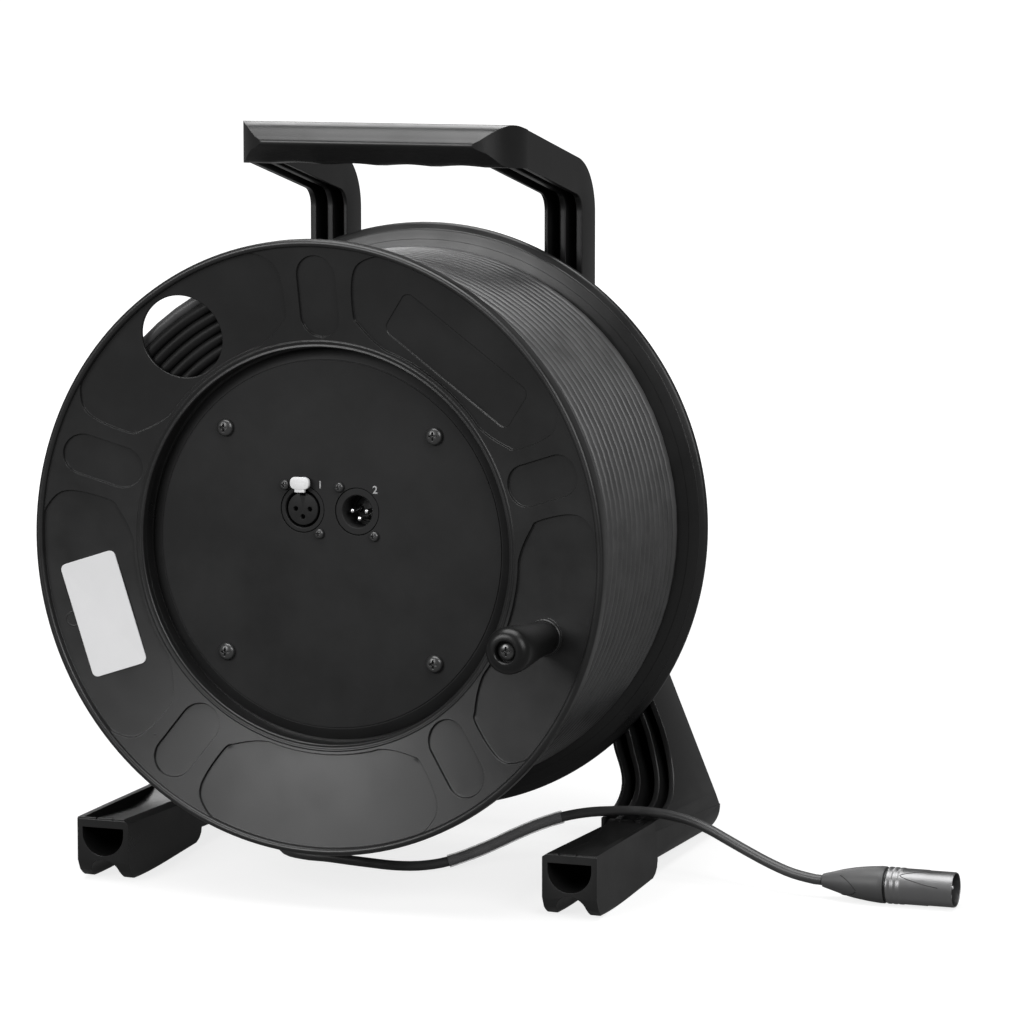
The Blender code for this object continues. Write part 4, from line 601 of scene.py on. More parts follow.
def cylinder(radius, front, back, segments=ROUND):
    return lathe([(0.0, front), (radius, front), (radius, back), (0.0, back)], segments)


def moved(shape, offset):
    bmesh.ops.translate(shape, verts=shape.verts, vec=offset)
    return shape


def turned(shape, matrix):
    bmesh.ops.transform(shape, matrix=matrix, verts=shape.verts)
    return shape


def flipped(shape, scale):
    bmesh.ops.scale(shape, vec=scale, verts=shape.verts)
    bmesh.ops.reverse_faces(shape, faces=shape.faces)
    return shape


def mirrored(shape, side):
    return flipped(shape, (-1, 1, 1)) if side == LEFT else shape


def to_mesh(shape, name):
    """Mesh data of a shape, which is used up."""
    mesh = bpy.data.meshes.new(name)
    shape.to_mesh(mesh)
    shape.free()
    return mesh


def gathered(shapes):
    """Put separate solids in one mesh."""
    whole = bmesh.new()
    for shape in shapes:
        mesh = to_mesh(shape, "part")
        whole.from_mesh(mesh)
        bpy.data.meshes.remove(mesh)
    return whole


def boolean(shape, tool, operation):
    """Exact Boolean of two meshes. Both are used up."""
    base, cutter = shown("base", to_mesh(shape, "base")), shown("cutter", to_mesh(tool, "cutter"))
    modifier = base.modifiers.new("boolean", "BOOLEAN")
    modifier.operation = operation
    modifier.solver = "EXACT"
    modifier.object = cutter
    evaluated = base.evaluated_get(bpy.context.evaluated_depsgraph_get())
    result = bmesh.new()
    result.from_mesh(evaluated.data)
    for item in (base, cutter):
        mesh = item.data
        bpy.data.objects.remove(item)
        bpy.data.meshes.remove(mesh)
    bmesh.ops.remove_doubles(result, verts=result.verts, dist=2e-6)
    bmesh.ops.dissolve_degenerate(result, edges=result.edges, dist=2e-6)
    return result


def cut(shape, tool):
    return boolean(shape, tool, "DIFFERENCE")


def join(shape, other):
    return boolean(shape, other, "UNION")


def common(shape, other):
    return boolean(shape, other, "INTERSECT")


def smooth_row(route, spacing, before_start=None, after_end=None):
    """Evenly spaced points of a smooth curve through the route, and on from any straight ends."""
    points = [Vector(point) for point in route]
    first = before_start or 2 * points[0] - points[1]
    last = after_end or 2 * points[-1] - points[-2]
    padded = [first] + points + [last]
    dense = []
    for before, start, end, after in zip(padded, padded[1:], padded[2:], padded[3:]):
        for share in (step / 24 for step in range(24)):
            dense.append(0.5 * (2 * start + (end - before) * share
                                + (2 * before - 5 * start + 4 * end - after) * share ** 2
                                + (3 * start - before - 3 * end + after) * share ** 3))
    dense.append(points[-1])
    lengths = [0.0]
    for first, second in zip(dense, dense[1:]):
        lengths.append(lengths[-1] + (second - first).length)
    count = max(2, round(lengths[-1] / spacing))
    row = []
    index = 0
    for step in range(count + 1):
        target = lengths[-1] * step / count
        while index < len(dense) - 2 and lengths[index + 1] < target:
            index += 1
        span = lengths[index + 1] - lengths[index]
        share = (target - lengths[index]) / span if span > 0 else 0.0
        row.append(dense[index].lerp(dense[index + 1], share))
    return row


# Pieces

def ride(item, body, nodes=()):
    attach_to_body(item, body)
    if nodes:
        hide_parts(*nodes)
    return item


def attach(name, data, body, nodes=(), place=STAND):
    """New piece on a body, its data moved to its place."""
    data.transform(place)
    return ride(shown(name, data), body, nodes)


def mesh_from(shape, name, material, smooth_angle=30.0):
    mesh = to_mesh(shape, name)
    mesh.materials.append(material)
    mesh.shade_smooth()
    mesh.set_sharp_from_angle(angle=math.radians(smooth_angle))
    return mesh


def add_piece(node, shape, body, material, place=STAND, smooth_angle=30.0):
    """Piece that stands for the CAD node."""
    name = f"{node}_dressed"
    return attach(name, mesh_from(shape, name, material, smooth_angle), body, (node,), place)


def add_copies(node, shape, places, body, material, place=STAND):
    """One piece at several places. Each stands for the CAD node with its number."""
    mesh = mesh_from(shape, f"{node}_dressed", material)
    items = []
    for number, spot in enumerate(places, 1):
        item = shown(f"{node}_dressed_{number}", mesh)
        item.matrix_world = place @ Matrix.Translation(spot)
        items.append(ride(item, body, (f"{node}_{number}",)))
    return items


def add_tube(name, points, diameter, body, material, nodes, place=STAND, radii=None,
             resolution=5):
    """Round cable on a row of points, with closed ends."""
    curve = bpy.data.curves.new(name, "CURVE")
    curve.dimensions = "3D"
    curve.bevel_depth = diameter / 2
    curve.bevel_resolution = resolution
    curve.use_fill_caps = True
    spline = curve.splines.new("POLY")
    spline.points.add(len(points) - 1)
    for index, (target, point) in enumerate(zip(spline.points, points)):
        target.co = (*point, 1.0)
        if radii:
            target.radius = radii[index]
    curve.materials.append(material)
    return attach(name, curve, body, nodes, place)


# Drum

def face_depth(radius):
    """Depth of the flange's conical front face at a radius."""
    return RIM_RISE + (RIM_INSIDE - radius) / (RIM_INSIDE - MOUTH_RADIUS) * FACE_DROP


def inner_face_depth(radius):
    return face_depth(radius) + FLANGE_WALL


FLANGE_BACK = inner_face_depth(BARREL_RADIUS) + 0.001
KNOB_X, KNOB_Z = polar(KNOB_DISTANCE, KNOB_ANGLE)
KNOB_SEAT = face_depth(KNOB_DISTANCE + KNOB_BASE_RADIUS) - 0.0004


def pocket_outline(middle):
    """Wide pocket: flat inner side with cut corners, open to the rim."""
    half = [(POCKET_INNER, 14.0), (0.1055, 17.2), (0.1084, 21.3), (0.1139, 25.4), (0.1180, 27.1),
            (0.1340, 27.9), (0.1440, 27.0), (0.1500, 24.0), (POCKET_OUTER, 20.5)]
    route = [(*polar(radius, angle), 0.0) for radius, angle in half]
    row = [tuple(point)[:2] for point in smooth_row(route, 0.0009)]
    inner = arc((0.0, 0.0), POCKET_INNER, -14.0, 14.0, 30)[1:-1]
    outer = arc((0.0, 0.0), POCKET_OUTER, 20.5, -20.5, 24)[1:-1]
    outline = inner + row + outer + [(x, -y) for x, y in reversed(row)]
    cosine, sine = polar(1.0, middle)
    return [(x * cosine - y * sine, x * sine + y * cosine) for x, y in outline]


def slot_outline(middle):
    """Narrow pocket with round ends, its length along a radius."""
    half = (SLOT_LENGTH - SLOT_WIDTH) / 2
    radius = SLOT_WIDTH / 2
    side = [(radius, -half + 2 * half * step / 8) for step in range(1, 8)]
    ends = arc((0.0, half), radius, 0, 180, 32) + [(-x, -y) for x, y in side]
    ends += arc((0.0, -half), radius, 180, 360, 32) + side
    return placed(ends, SLOT_RADIUS, middle)


def signed_distance(points, outline):
    """Distance of each point to a closed outline, below zero inside, and its gradient."""
    start = np.array(outline)
    step = np.roll(start, -1, axis=0) - start
    relative = points[:, None, :] - start[None]
    share = np.clip((relative * step).sum(2) / np.maximum((step * step).sum(1), 1e-18), 0.0, 1.0)
    away = relative - share[..., None] * step
    distances = np.sqrt((away ** 2).sum(2))
    nearest = distances.argmin(axis=1)
    rows = np.arange(len(points))
    distance = distances[rows, nearest]
    gradient = away[rows, nearest] / np.maximum(distance, 1e-9)[:, None]
    spans = (start[:, 1] > points[:, 1:2]) != ((start + step)[:, 1] > points[:, 1:2])
    height = np.where(np.abs(step[:, 1]) < 1e-12, 1e-12, step[:, 1])
    crossing = start[:, 0] + (points[:, 1:2] - start[:, 1]) / height * step[:, 0]
    inside = (spans & (points[:, 0:1] < crossing)).sum(axis=1) % 2 == 1
    sign = np.where(inside, -1.0, 1.0)
    return distance * sign, gradient * sign[:, None]


def relief(points, outlines):
    """Depth below the plain cone, and its slope, of pockets given as (outline, depth)."""
    depth = np.zeros(len(points))
    slope = np.zeros((len(points), 2))
    nearest = np.full(len(points), 1.0)
    for outline, drop in outlines:
        distance, gradient = signed_distance(points, outline)
        share = np.clip((EDGE_START - distance) / EDGE_WIDTH, 0.0, 1.0)
        depth += drop * share ** 2 * (3 - 2 * share)
        slope -= (drop * 6 * share * (1 - share) / EDGE_WIDTH)[:, None] * gradient
        nearest = np.minimum(nearest, np.abs(distance))
    return depth, slope, nearest


def distance_from(points, centre=(0.0, 0.0)):
    return np.hypot(points[:, 0] - centre[0], points[:, 1] - centre[1])


def lifted(flat, depth):
    """(x, depth, z) rows of an (x, z) array."""
    return np.insert(flat, 1, depth, axis=1)


def unit(rows):
    return rows / np.linalg.norm(rows, axis=1, keepdims=True)


def flange_face(outlines, window=None, back_side=False):
    """Closed shell of the dished face with rounded pocket steps, as arrays.

    It returns points, faces and one normal per face corner."""
    loops = [circle(FACE_INNER, FINE), circle(FACE_OUTER, 2 * FINE)]
    loops += [inset(outline, EDGE_WIDTH * share - EDGE_START)
              for outline, _ in outlines for share in STEP_SHARES]
    if window:
        loops += [circle(WINDOW_RADIUS + extra, WINDOW_STEPS, window)
                  for extra in (0.0, 0.00012, 0.0003, WINDOW_LIP)]
    else:
        window = (9.0, 9.0)    # far away, so that it changes nothing
    points = []
    edges = []
    for loop in loops:
        first = len(points)
        points += [(float(x), float(y)) for x, y in loop]
        edges += [(first + i, first + (i + 1) % len(loop)) for i in range(len(loop))]
    grid = np.array([polar(radius / 1000, angle * 2.5 + (radius % 2) * 1.25)
                     for radius in range(107, 151, 3) for angle in range(144)])
    _, _, nearest = relief(grid, outlines)
    keep = (nearest > 0.0012) & (distance_from(grid, window) > WINDOW_RADIUS + 0.0015)
    points += map(tuple, grid[keep])
    flat, _, faces, *_ = delaunay_2d_cdt([Vector(point) for point in points], edges, [], 0, 1e-6)
    flat = np.array([tuple(point) for point in flat])
    faces = np.array([tuple(face) for face in faces if len(face) == 3])
    middles = flat[faces].mean(axis=1)
    radius = distance_from(middles)
    faces = faces[(radius > FACE_INNER * 0.9995) & (radius < FACE_OUTER)
                  & (distance_from(middles, window) > WINDOW_RADIUS * 0.9995)]
    used, faces = np.unique(faces, return_inverse=True)
    flat = flat[used]
    faces = faces.reshape(-1, 3)
    first, second, third = (flat[faces[:, i]] for i in range(3))
    (ax, ay), (bx, by) = (second - first).T, (third - first).T
    wrong = ax * by - ay * bx < 0
    faces[wrong] = faces[wrong][:, ::-1]

    depth, slope, _ = relief(flat, outlines)
    away = distance_from(flat, window)
    lip = np.clip(1 - (away - WINDOW_RADIUS) / WINDOW_LIP, 0.0, 1.0)
    depth += WINDOW_LIP_DROP * lip ** 2
    slope -= (2 * WINDOW_LIP_DROP * lip / WINDOW_LIP / away)[:, None] * (flat - np.array(window))
    radius = distance_from(flat)
    radial = -CONE_SLOPE * flat / radius[:, None]
    front = lifted(flat, face_depth(radius) + depth)
    back = lifted(flat, inner_face_depth(radius))
    front_normal = unit(lifted(radial + slope, -1.0))
    back_normal = unit(lifted(-radial, 1.0))

    count = len(flat)
    points = np.concatenate([front, back])
    # seen from the front, +X is right and +Z is up, so a counter-clockwise face looks to -Y
    shell = [tuple(face) for face in faces] + [tuple(count + face[::-1]) for face in faces]
    normals = [front_normal[face] for face in faces] + [back_normal[face[::-1]] for face in faces]
    directed = dict.fromkeys(pair for a, b, c in faces for pair in ((a, b), (b, c), (c, a)))
    for a, b in directed:
        if (b, a) not in directed:
            shell.append((b, a, count + a, count + b))
            p, q, r = (points[i] for i in shell[-1][:3])
            across = np.cross(q - p, r - q)
            normals.append(np.tile(across / max(np.linalg.norm(across), 1e-12), (4, 1)))
    if back_side:
        points = points * (1, -1, 1) + (0, DRUM_WIDTH, 0)
        shell = [face[::-1] for face in shell]
        normals = [rows[::-1] * (1, -1, 1) for rows in normals]
    return points, shell, np.concatenate(normals)


def add_flange(node, face, shells):
    """A flange: its dished face, which keeps its own normals, and plain shells."""
    name = f"{node}_dressed"
    points, faces, normals = face
    mesh = bpy.data.meshes.new(name)
    mesh.from_pydata([tuple(point) for point in points], [], faces)
    mesh.materials.append(BLACK)
    mesh.shade_smooth()
    mesh.normals_split_custom_set([tuple(normal) for normal in normals])
    item = shown(name, mesh)
    items = [item] + [shown("shell", mesh_from(shape, "shell", BLACK)) for shape in shells]
    with bpy.context.temp_override(active_object=item, selected_objects=items,
                                   selected_editable_objects=items):
        bpy.ops.object.join()
    item.data.name = name
    item.matrix_world = STAND
    ride(item, "drum", (node,))


def rim_shape(flared=False):
    """Rolled rim: bead, outer cylinder and a short fillet, or a flare, down to the inner face."""
    outline = near(RIM_INSIDE, face_depth(RIM_INSIDE), (0, 3), (0, 0.2), (0.1, -0.3))
    outline += arc((FLANGE_RADIUS - RIM_BEAD, RIM_BEAD), RIM_BEAD, 190, 360, 18)
    if flared:
        fillet = ((0, -5.2), (-0.2, -4.7), (-0.6, -4.3), (-1.2, -4), (-3, -3.3), (-5.2, -2.5),
                  (-7.2, -1.9))
        last = RIM_INSIDE - 0.0050
    else:
        fillet = ((0, -1.1), (-0.2, -0.5), (-0.6, -0.1), (-1.1, 0), (-1.8, -0.1), (-2.7, -0.4),
                  (-3.8, -0.8))
        last = RIM_INSIDE - 0.0014
    outline += near(FLANGE_RADIUS, RIM_DEPTH, *fillet)
    outline += near(last, inner_face_depth(last), (0, 0.04), (0, -0.8))
    return lathe(outline, FINE)


def lip_shape():
    """Double bead round the mouth of the recess."""
    profile = near(0.1, 0.0, (0.3, 1.2), (0.3, 0.1), (0.4, -0.2), (0.6, -0.45), (0.9, -0.6),
                   (1.2, -0.5), (1.5, -0.25), (1.9, -0.12), (2.4, -0.14), (2.8, -0.42), (3.1, -0.55),
                   (3.4, -0.5), (3.7, -0.2), (3.9, 0), (4, 0.6))
    outline = [(radius, face_depth(radius) + rise) for radius, rise in profile]
    return lathe(outline + [(BARREL_RADIUS, FLANGE_BACK), (MOUTH_RADIUS, FLANGE_BACK)], FINE)


def small_ring(distance, degrees, radius, sink):
    """Round ejector mark in the moulding: a fine raised line."""
    shape = lathe(near(radius, 0.0, (-0.22, 0.3), (-0.12, -0.12), (0.12, -0.12), (0.22, 0.3)), 48)
    cosine, sine = polar(1.0, degrees)
    turned(shape, Matrix.Rotation(-math.atan(CONE_SLOPE), 4, Vector((-sine, 0.0, cosine))))
    across, up = polar(distance, degrees)
    return moved(shape, (across, face_depth(distance) + sink, up))


def pocket_list():
    outlines = []
    for index in range(POCKET_COUNT):
        middle = POCKET_ANGLE + index * 360 / POCKET_COUNT
        outlines.append((pocket_outline(middle), POCKET_DEPTH))
        outlines.append((slot_outline(middle + 180 / POCKET_COUNT), POCKET_DEPTH))
    return outlines


def make_front_flange():
    plate = [(x + PLATE_SHIFT, y) for x, y in rounded_rectangle(PLATE_WIDTH, PLATE_HEIGHT, 0.0045, 10)]
    outlines = pocket_list() + [(placed(plate, PLATE_DISTANCE, POCKET_ANGLE), PLATE_STEP)]
    face = flange_face(outlines, polar(WINDOW_DISTANCE, WINDOW_ANGLE))
    seat = near(KNOB_BASE_RADIUS, KNOB_SEAT, (0.4, 0), (0.8, 0.4))
    floor = inner_face_depth(KNOB_DISTANCE)
    boss = lathe([(0.0, KNOB_SEAT), *seat, (seat[1][0], floor), (0.0, floor)])
    shells = [rim_shape(), lip_shape(), moved(boss, (KNOB_X, 0.0, KNOB_Z)),
              small_ring(0.1430, 197.4, 0.0036, POCKET_DEPTH)]
    add_flange("front_flange", face, shells)


def hub_shape():
    """Rear web with its ribs and the bearing tube, drawn facing forward."""
    inside = BARREL_RADIUS - BARREL_WALL - GAP
    outer = HUB_BORE_RADIUS + HUB_WALL
    front = DRUM_WIDTH - HUB_FRONT
    collar = outer + 0.010
    web = WEB_SETBACK + WEB_WALL
    outline = near(MOUTH_RADIUS, FLANGE_BACK, (2, -2), (2, 0))
    outline += [(inside, FLANGE_BACK), (inside, web), *near(collar, web, (0.6, 0), (0, 1.2))]
    outline += [(outer, web + 0.011), (outer, front), (HUB_BORE_RADIUS, front)]
    outline += [(HUB_BORE_RADIUS, WEB_SETBACK - HUB_COLLAR_RISE)]
    outline += near(collar, WEB_SETBACK - HUB_COLLAR_RISE, (-0.5, 0), (0, 0.5))
    outline += near(collar, WEB_SETBACK, (0.3, 0))
    outline += near(MOUTH_RADIUS, WEB_SETBACK, (-7.5, 0), (-5.5, -0.3), (-3, -1.3))
    return lathe(outline + near(MOUTH_RADIUS, face_depth(MOUTH_RADIUS), (1, 0.2)), FINE)


def make_rear_flange():
    """The front flange's moulding turned round, with a flared rim and the hub."""
    shells = [moved(flipped(shape, (1, -1, 1)), (0.0, DRUM_WIDTH, 0.0))
              for shape in (rim_shape(flared=True), lip_shape(), hub_shape())]
    add_flange("rear_flange", flange_face(pocket_list(), back_side=True), shells)


def make_barrel():
    front = FLANGE_BACK + GAP
    back = DRUM_WIDTH - front
    inner = BARREL_RADIUS - BARREL_WALL
    shelf = PANEL_BACK + GAP
    shelf_back = shelf + SHELF_THICKNESS
    outline = near(inner, front, (0.3, 0)) + near(BARREL_RADIUS, front, (-0.3, 0), (0, 0.3))
    outline += [(BARREL_RADIUS, back), (inner, back), (inner, shelf_back),
                (SHELF_INNER_RADIUS, shelf_back), (SHELF_INNER_RADIUS, shelf), (inner, shelf)]
    shape = lathe(outline + near(inner, front, (0, 0.3)), FINE)
    add_piece("drum_barrel", shape, "drum", BLACK)


def winding_points():
    """Centre line of the outer layer, front to back, with a short straight at each end."""
    edge = inner_face_depth(TURN_RADIUS - TURN_DIAMETER / 2) + TURN_DIAMETER / 2 + GAP
    last = DRUM_WIDTH - edge
    coarse = 18
    steps = int((last - edge) / TURN_PITCH * coarse) * POINTS_PER_TURN // coarse
    points = []
    for left in range(steps, -1, -1):
        across, up = polar(TURN_RADIUS, LEAVE_ANGLE - left * 360 / POINTS_PER_TURN)
        points.append(Vector((across, last - left * TURN_PITCH / POINTS_PER_TURN, up)))
    start, end = (point + Vector((-point.z, 0.0, point.x)).normalized() * sign * TURN_DIAMETER
                  for point, sign in ((points[0], -1), (points[-1], 1)))
    return [start, *points, end]


def make_winding():
    points = winding_points()
    radii = [(TAIL_DIAMETER + (TURN_SHOWN - TAIL_DIAMETER) * min(left / FADE_POINTS, 1.0)) / TURN_SHOWN
             for left in reversed(range(len(points)))]
    add_tube("cable_winding_dressed", points, TURN_SHOWN, "drum", JACKET, ("cable_winding",),
             radii=radii)


def make_core():
    """Layers under the outer one: whole turns at both ends and a plain middle."""
    tube = LAYER_PITCH / 2 + 0.00003
    shells = []
    backing = []
    for index in range(1, LAYER_COUNT + 1):
        radius = TURN_RADIUS - index * LAYER_PITCH
        depth = inner_face_depth(radius - tube) + tube + GAP
        shells.append(lathe(circle(tube, 20, (radius, depth)), FINE))
        shells.append(lathe(circle(tube, 10, (radius, DRUM_WIDTH - depth)), 96))
        backing.append((radius, depth + 0.0012))
    backing.append((radius - tube + 0.0002, backing[-1][1] + 0.0005))
    solid = backing + [(radius, DRUM_WIDTH - depth) for radius, depth in reversed(backing)]
    shape = gathered(shells + [lathe(solid, FINE)])
    # The layers and the plain middle use the jacket with painted shade, far darker than the outer
    # turns.
    add_piece("cable_core", shape, "drum", SHADED_JACKET)


def bent_sheet(outline, ahead, behind):
    """Thin sheet with this outline that follows the flange's cone."""
    spots = [Vector(point) for point in outline]
    edges = [(i, (i + 1) % len(spots)) for i in range(len(spots))]
    centre = Vector((sum(p.x for p in spots) / len(spots), sum(p.y for p in spots) / len(spots)))
    inner = [centre.lerp(point, share) for share in (0.25, 0.5, 0.75, 0.92) for point in spots[::3]]
    flat, _, faces, *_ = delaunay_2d_cdt(spots + inner + [centre], edges, [], 1, 1e-6)
    shape = bmesh.new()
    front, back = ([shape.verts.new((p.x, face_depth(p.length) + offset, p.y)) for p in flat]
                   for offset in (ahead, behind))
    for face in faces:
        shape.faces.new([front[i] for i in face])
        shape.faces.new([back[i] for i in reversed(face)])
    bmesh.ops.bridge_loops(shape, edges=[edge for edge in shape.edges if len(edge.link_faces) == 1])
    bmesh.ops.recalc_face_normals(shape, faces=shape.faces)
    return shape


def make_label():
    outline = rounded_rectangle(LABEL_WIDTH, LABEL_HEIGHT, 0.0030, 8)
    outline = placed(outline, LABEL_DISTANCE, LABEL_ANGLE)
    shape = bent_sheet(outline, POCKET_DEPTH - GAP - LABEL_THICKNESS, POCKET_DEPTH - 0.0001)
    add_piece("label", shape, "drum", PAPER)


# Panel and connectors

def screw_shape(head_radius, head_height, shank_radius, shank_length, segments=40):
    """Domed cross-head screw along +Y, the underside of its head at y = 0."""
    dome = [(head_radius * math.sin(angle), -0.22 * head_height - 0.78 * head_height * math.cos(angle))
            for angle in (math.radians(step * 90 / 8) for step in range(9))]
    shape = lathe(dome + [(head_radius, -0.0001), (head_radius - 0.0001, 0.0), (shank_radius, 0.0),
                          (shank_radius, shank_length), (0.0, shank_length)], segments)
    arm = head_radius * 0.56
    slit = head_radius * 0.10
    cross = []
    for across, up in ((1, 1), (-1, 1), (-1, -1), (1, -1)):
        tips = [(across * arm, up * slit), (across * slit * 1.5, up * slit * 1.5),
                (across * slit, up * arm)]
        cross += tips if across * up > 0 else tips[::-1]
    rows = ((1, -2 * head_height), (1, -head_height), (0.62, -head_height * 0.42))
    return cut(shape, loft([[(x * size, depth, z * size) for x, z in cross] for size, depth in rows]))


def make_panel():
    edge = PANEL_RADIUS - PANEL_CHAMFER
    outline = [(0.0, PANEL_FRONT)]
    outline += near(edge, PANEL_FRONT, (-0.4, 0), (-0.3, 0.4), (0.2, 0.4), (0.3, 0.1), (1.2, 0.4))
    outline += near(PANEL_RADIUS, PANEL_BACK, (-0.6, -0.9), (0, -0.5), (0, 0)) + [(0.0, PANEL_BACK)]
    holes = [moved(cylinder(SOCKET_HOLE_RADIUS, 0.0, 0.04, 72), (across, 0.0, SOCKET_HEIGHT))
             for across in (FEMALE_X, MALE_X)]
    shape = cut(lathe(outline, FINE), gathered(holes))
    left, right = FEMALE_X - TAB_NECK_WIDTH / 2 - GAP, FEMALE_X + TAB_NECK_WIDTH / 2 + GAP
    low = SOCKET_HEIGHT + SOCKET_HOLE_RADIUS - 0.003
    high = TAB_CENTRE_Z + 0.0016 + GAP
    shape = cut(shape, prism([(left, low), (right, low), (right, high), (left, high)], 0.0, 0.04))
    add_piece("connector_panel", shape, "drum", PANEL_BLACK)
    half = PANEL_SCREW_PITCH / 2
    places = [(across * half, PANEL_FRONT - GAP, up * half) for up in (1, -1) for across in (-1, 1)]
    length = PANEL_THICKNESS + 2 * GAP + SHELF_THICKNESS - 0.0005
    add_copies("panel_screw", screw_shape(0.0045, 0.0030, 0.0020, length), places,
               "drum", STEEL)
    places = [(across + side * SOCKET_SCREW_X, PANEL_FRONT - GAP, SOCKET_HEIGHT - side * SOCKET_SCREW_Z)
              for across in (FEMALE_X, MALE_X) for side in (LEFT, RIGHT)]
    add_copies("socket_screw", screw_shape(0.0026, 0.0021, 0.0014, PANEL_THICKNESS + 0.0016, 32),
               places, "drum", STEEL)


def contact_places(across=0.0, depth=0.0, up=0.0):
    return [(across - CONTACT_RADIUS, depth, up), (across + CONTACT_RADIUS, depth, up),
            (across, depth, up - CONTACT_RADIUS)]


def contact_holes(radius, front, back):
    return gathered([moved(cylinder(radius, front, back, 24), place) for place in contact_places()])


def socket_plate():
    front = PANEL_BACK + GAP
    plate = soft_prism(rounded_rectangle(0.026, 0.031, 0.003), front, front + 0.0018, 0.0002)
    return cut(plate, cylinder(0.0105, 0.0, 0.05))


def make_female():
    centre = (FEMALE_X, 0.0, SOCKET_HEIGHT)
    floor = SOCKET_BACK - 0.002
    outline = near(GROOVE_RADIUS, SOCKET_FRONT, (0, 0.3), (0.3, 0))
    outline += near(SOCKET_RADIUS, SOCKET_FRONT, (-0.3, 0), (0, 0.3)) + [(SOCKET_RADIUS, SOCKET_BACK)]
    shell = lathe(outline + [(0.0, SOCKET_BACK), (0.0, floor), (GROOVE_RADIUS, floor)], 96)
    notch = rounded_rectangle(TAB_NECK_WIDTH + 4 * GAP, 0.006, 0.0004, 2)
    notch = moved(prism(notch, 0.0, SOCKET_FRONT + 0.012), (0.0, 0.0, SOCKET_RADIUS + 0.0004))
    shape = gathered([cut(shell, notch), socket_plate()])
    add_piece("female_socket", moved(shape, centre), "drum", PANEL_BLACK)
    face = PANEL_FRONT + 0.0004
    rear = PANEL_FRONT + SOCKET_DEPTH - 0.002
    outline = [(0.0, face), *near(INSERT_RADIUS, face, (-0.4, 0), (-0.1, 0.1), (0, 0.4))]
    outline += [(INSERT_RADIUS, rear - 0.004), (GROOVE_RADIUS - GAP, rear - 0.004)]
    insert = lathe(outline + [(GROOVE_RADIUS - GAP, rear - GAP), (0.0, rear - GAP)], 96)
    insert = cut(insert, contact_holes(PIN_RADIUS + 0.0001, 0.0, face + 0.012))
    key = prism(rounded_rectangle(0.0030, 0.0022, 0.0003, 2), face - 0.001, face + 0.010)
    insert = cut(insert, moved(key, (0.0, 0.0, INSERT_RADIUS - 0.0004)))
    add_piece("female_insert", moved(insert, centre), "drum", PANEL_BLACK)
    outer = PIN_RADIUS - 0.0002
    cup = lathe([(0.0006, 0.0), (outer, 0.0), (outer, 0.006), (0.0, 0.006), (0.0, 0.005),
                 (0.0006, 0.005)], 20)
    add_copies("female_contact", cup, contact_places(FEMALE_X, PANEL_FRONT + 0.0060, SOCKET_HEIGHT),
               "drum", SILVER)


def pin_shape(root):
    """Round-nosed contact pin along +Y from its tip."""
    nose = [(PIN_RADIUS * math.sin(angle), PIN_NOSE * (1 - math.cos(angle)))
            for angle in map(math.radians, (20, 40, 60, 80, 90))]
    return lathe([(0.0, 0.0), *nose, (PIN_RADIUS, root), (0.0, root)], 24)


def make_male():
    centre = (MALE_X, 0.0, SOCKET_HEIGHT)
    floor = SOCKET_FRONT + CAVITY_DEPTH
    stop = CAVITY_RADIUS - 0.0015
    outline = near(CAVITY_RADIUS, SOCKET_FRONT, (0.5, 0))
    outline += near(SOCKET_RADIUS, SOCKET_FRONT, (-0.3, 0), (0, 0.3))
    outline += [(SOCKET_RADIUS, SOCKET_BACK), (stop, SOCKET_BACK), (stop, floor)]
    outline += [(CAVITY_RADIUS, floor)]
    shell = lathe(outline + near(CAVITY_RADIUS, SOCKET_FRONT, (0, 0.6), (0.2, 0.2)), 96)
    shape = moved(gathered([shell, socket_plate()]), centre)
    add_piece("male_socket", shape, "drum", PANEL_BLACK)
    disc = cut(cylinder(stop - GAP, floor, floor + 0.007), contact_holes(PIN_RADIUS + GAP, 0.0, 0.06))
    add_piece("male_insert", moved(disc, centre), "drum", DARK)
    add_copies("male_pin", pin_shape(CAVITY_DEPTH - PIN_SETBACK + 0.0105),
               contact_places(MALE_X, PANEL_FRONT + PIN_SETBACK, SOCKET_HEIGHT),
               "drum", SILVER)


def make_tab():
    back = -TAB_TRAVEL - GAP
    head = soft_prism(rounded_rectangle(TAB_WIDTH, TAB_HEIGHT, 0.0026, 8), -TAB_PROUD, back, 0.0004)
    half = TAB_NECK_WIDTH / 2
    low = -TAB_HEIGHT / 2 - 0.0016
    neck = rounded_loop([(-half, low), (half, low), (half, 0.0), (-half, 0.0)], 0.0004)
    neck = soft_prism(neck, -TAB_PROUD + 0.0001, back - 0.0001, 0.0002)
    stem = [(-half, -0.0032), (half, -0.0032), (half, 0.0014), (-half, 0.0014)]
    shape = gathered([head, neck, prism(stem, -TAB_PROUD + 0.0006, 0.0090)])
    add_piece("push_tab", moved(shape, (FEMALE_X, PANEL_FRONT, TAB_CENTRE_Z)), "tab", GREY)


def make_numeral(name, text, across, up, height):
    """Plain figure standing on the panel beside a connector."""
    letter = bpy.data.curves.new("figure", "FONT")
    letter.body = text
    letter.size = height / 0.70
    letter.extrude = 0.00004
    letter.offset = 0.00012
    letter.align_x = "CENTER"
    item = shown("figure", letter)
    shape = bmesh.new()
    shape.from_mesh(item.evaluated_get(bpy.context.evaluated_depsgraph_get()).to_mesh())
    bpy.data.objects.remove(item)
    bpy.data.curves.remove(letter)
    turned(shape, Matrix.Rotation(math.radians(90), 4, "X"))
    moved(shape, (across, PANEL_FRONT - 0.00003, up - height / 2))
    attach(name, mesh_from(shape, name, INK), "drum")


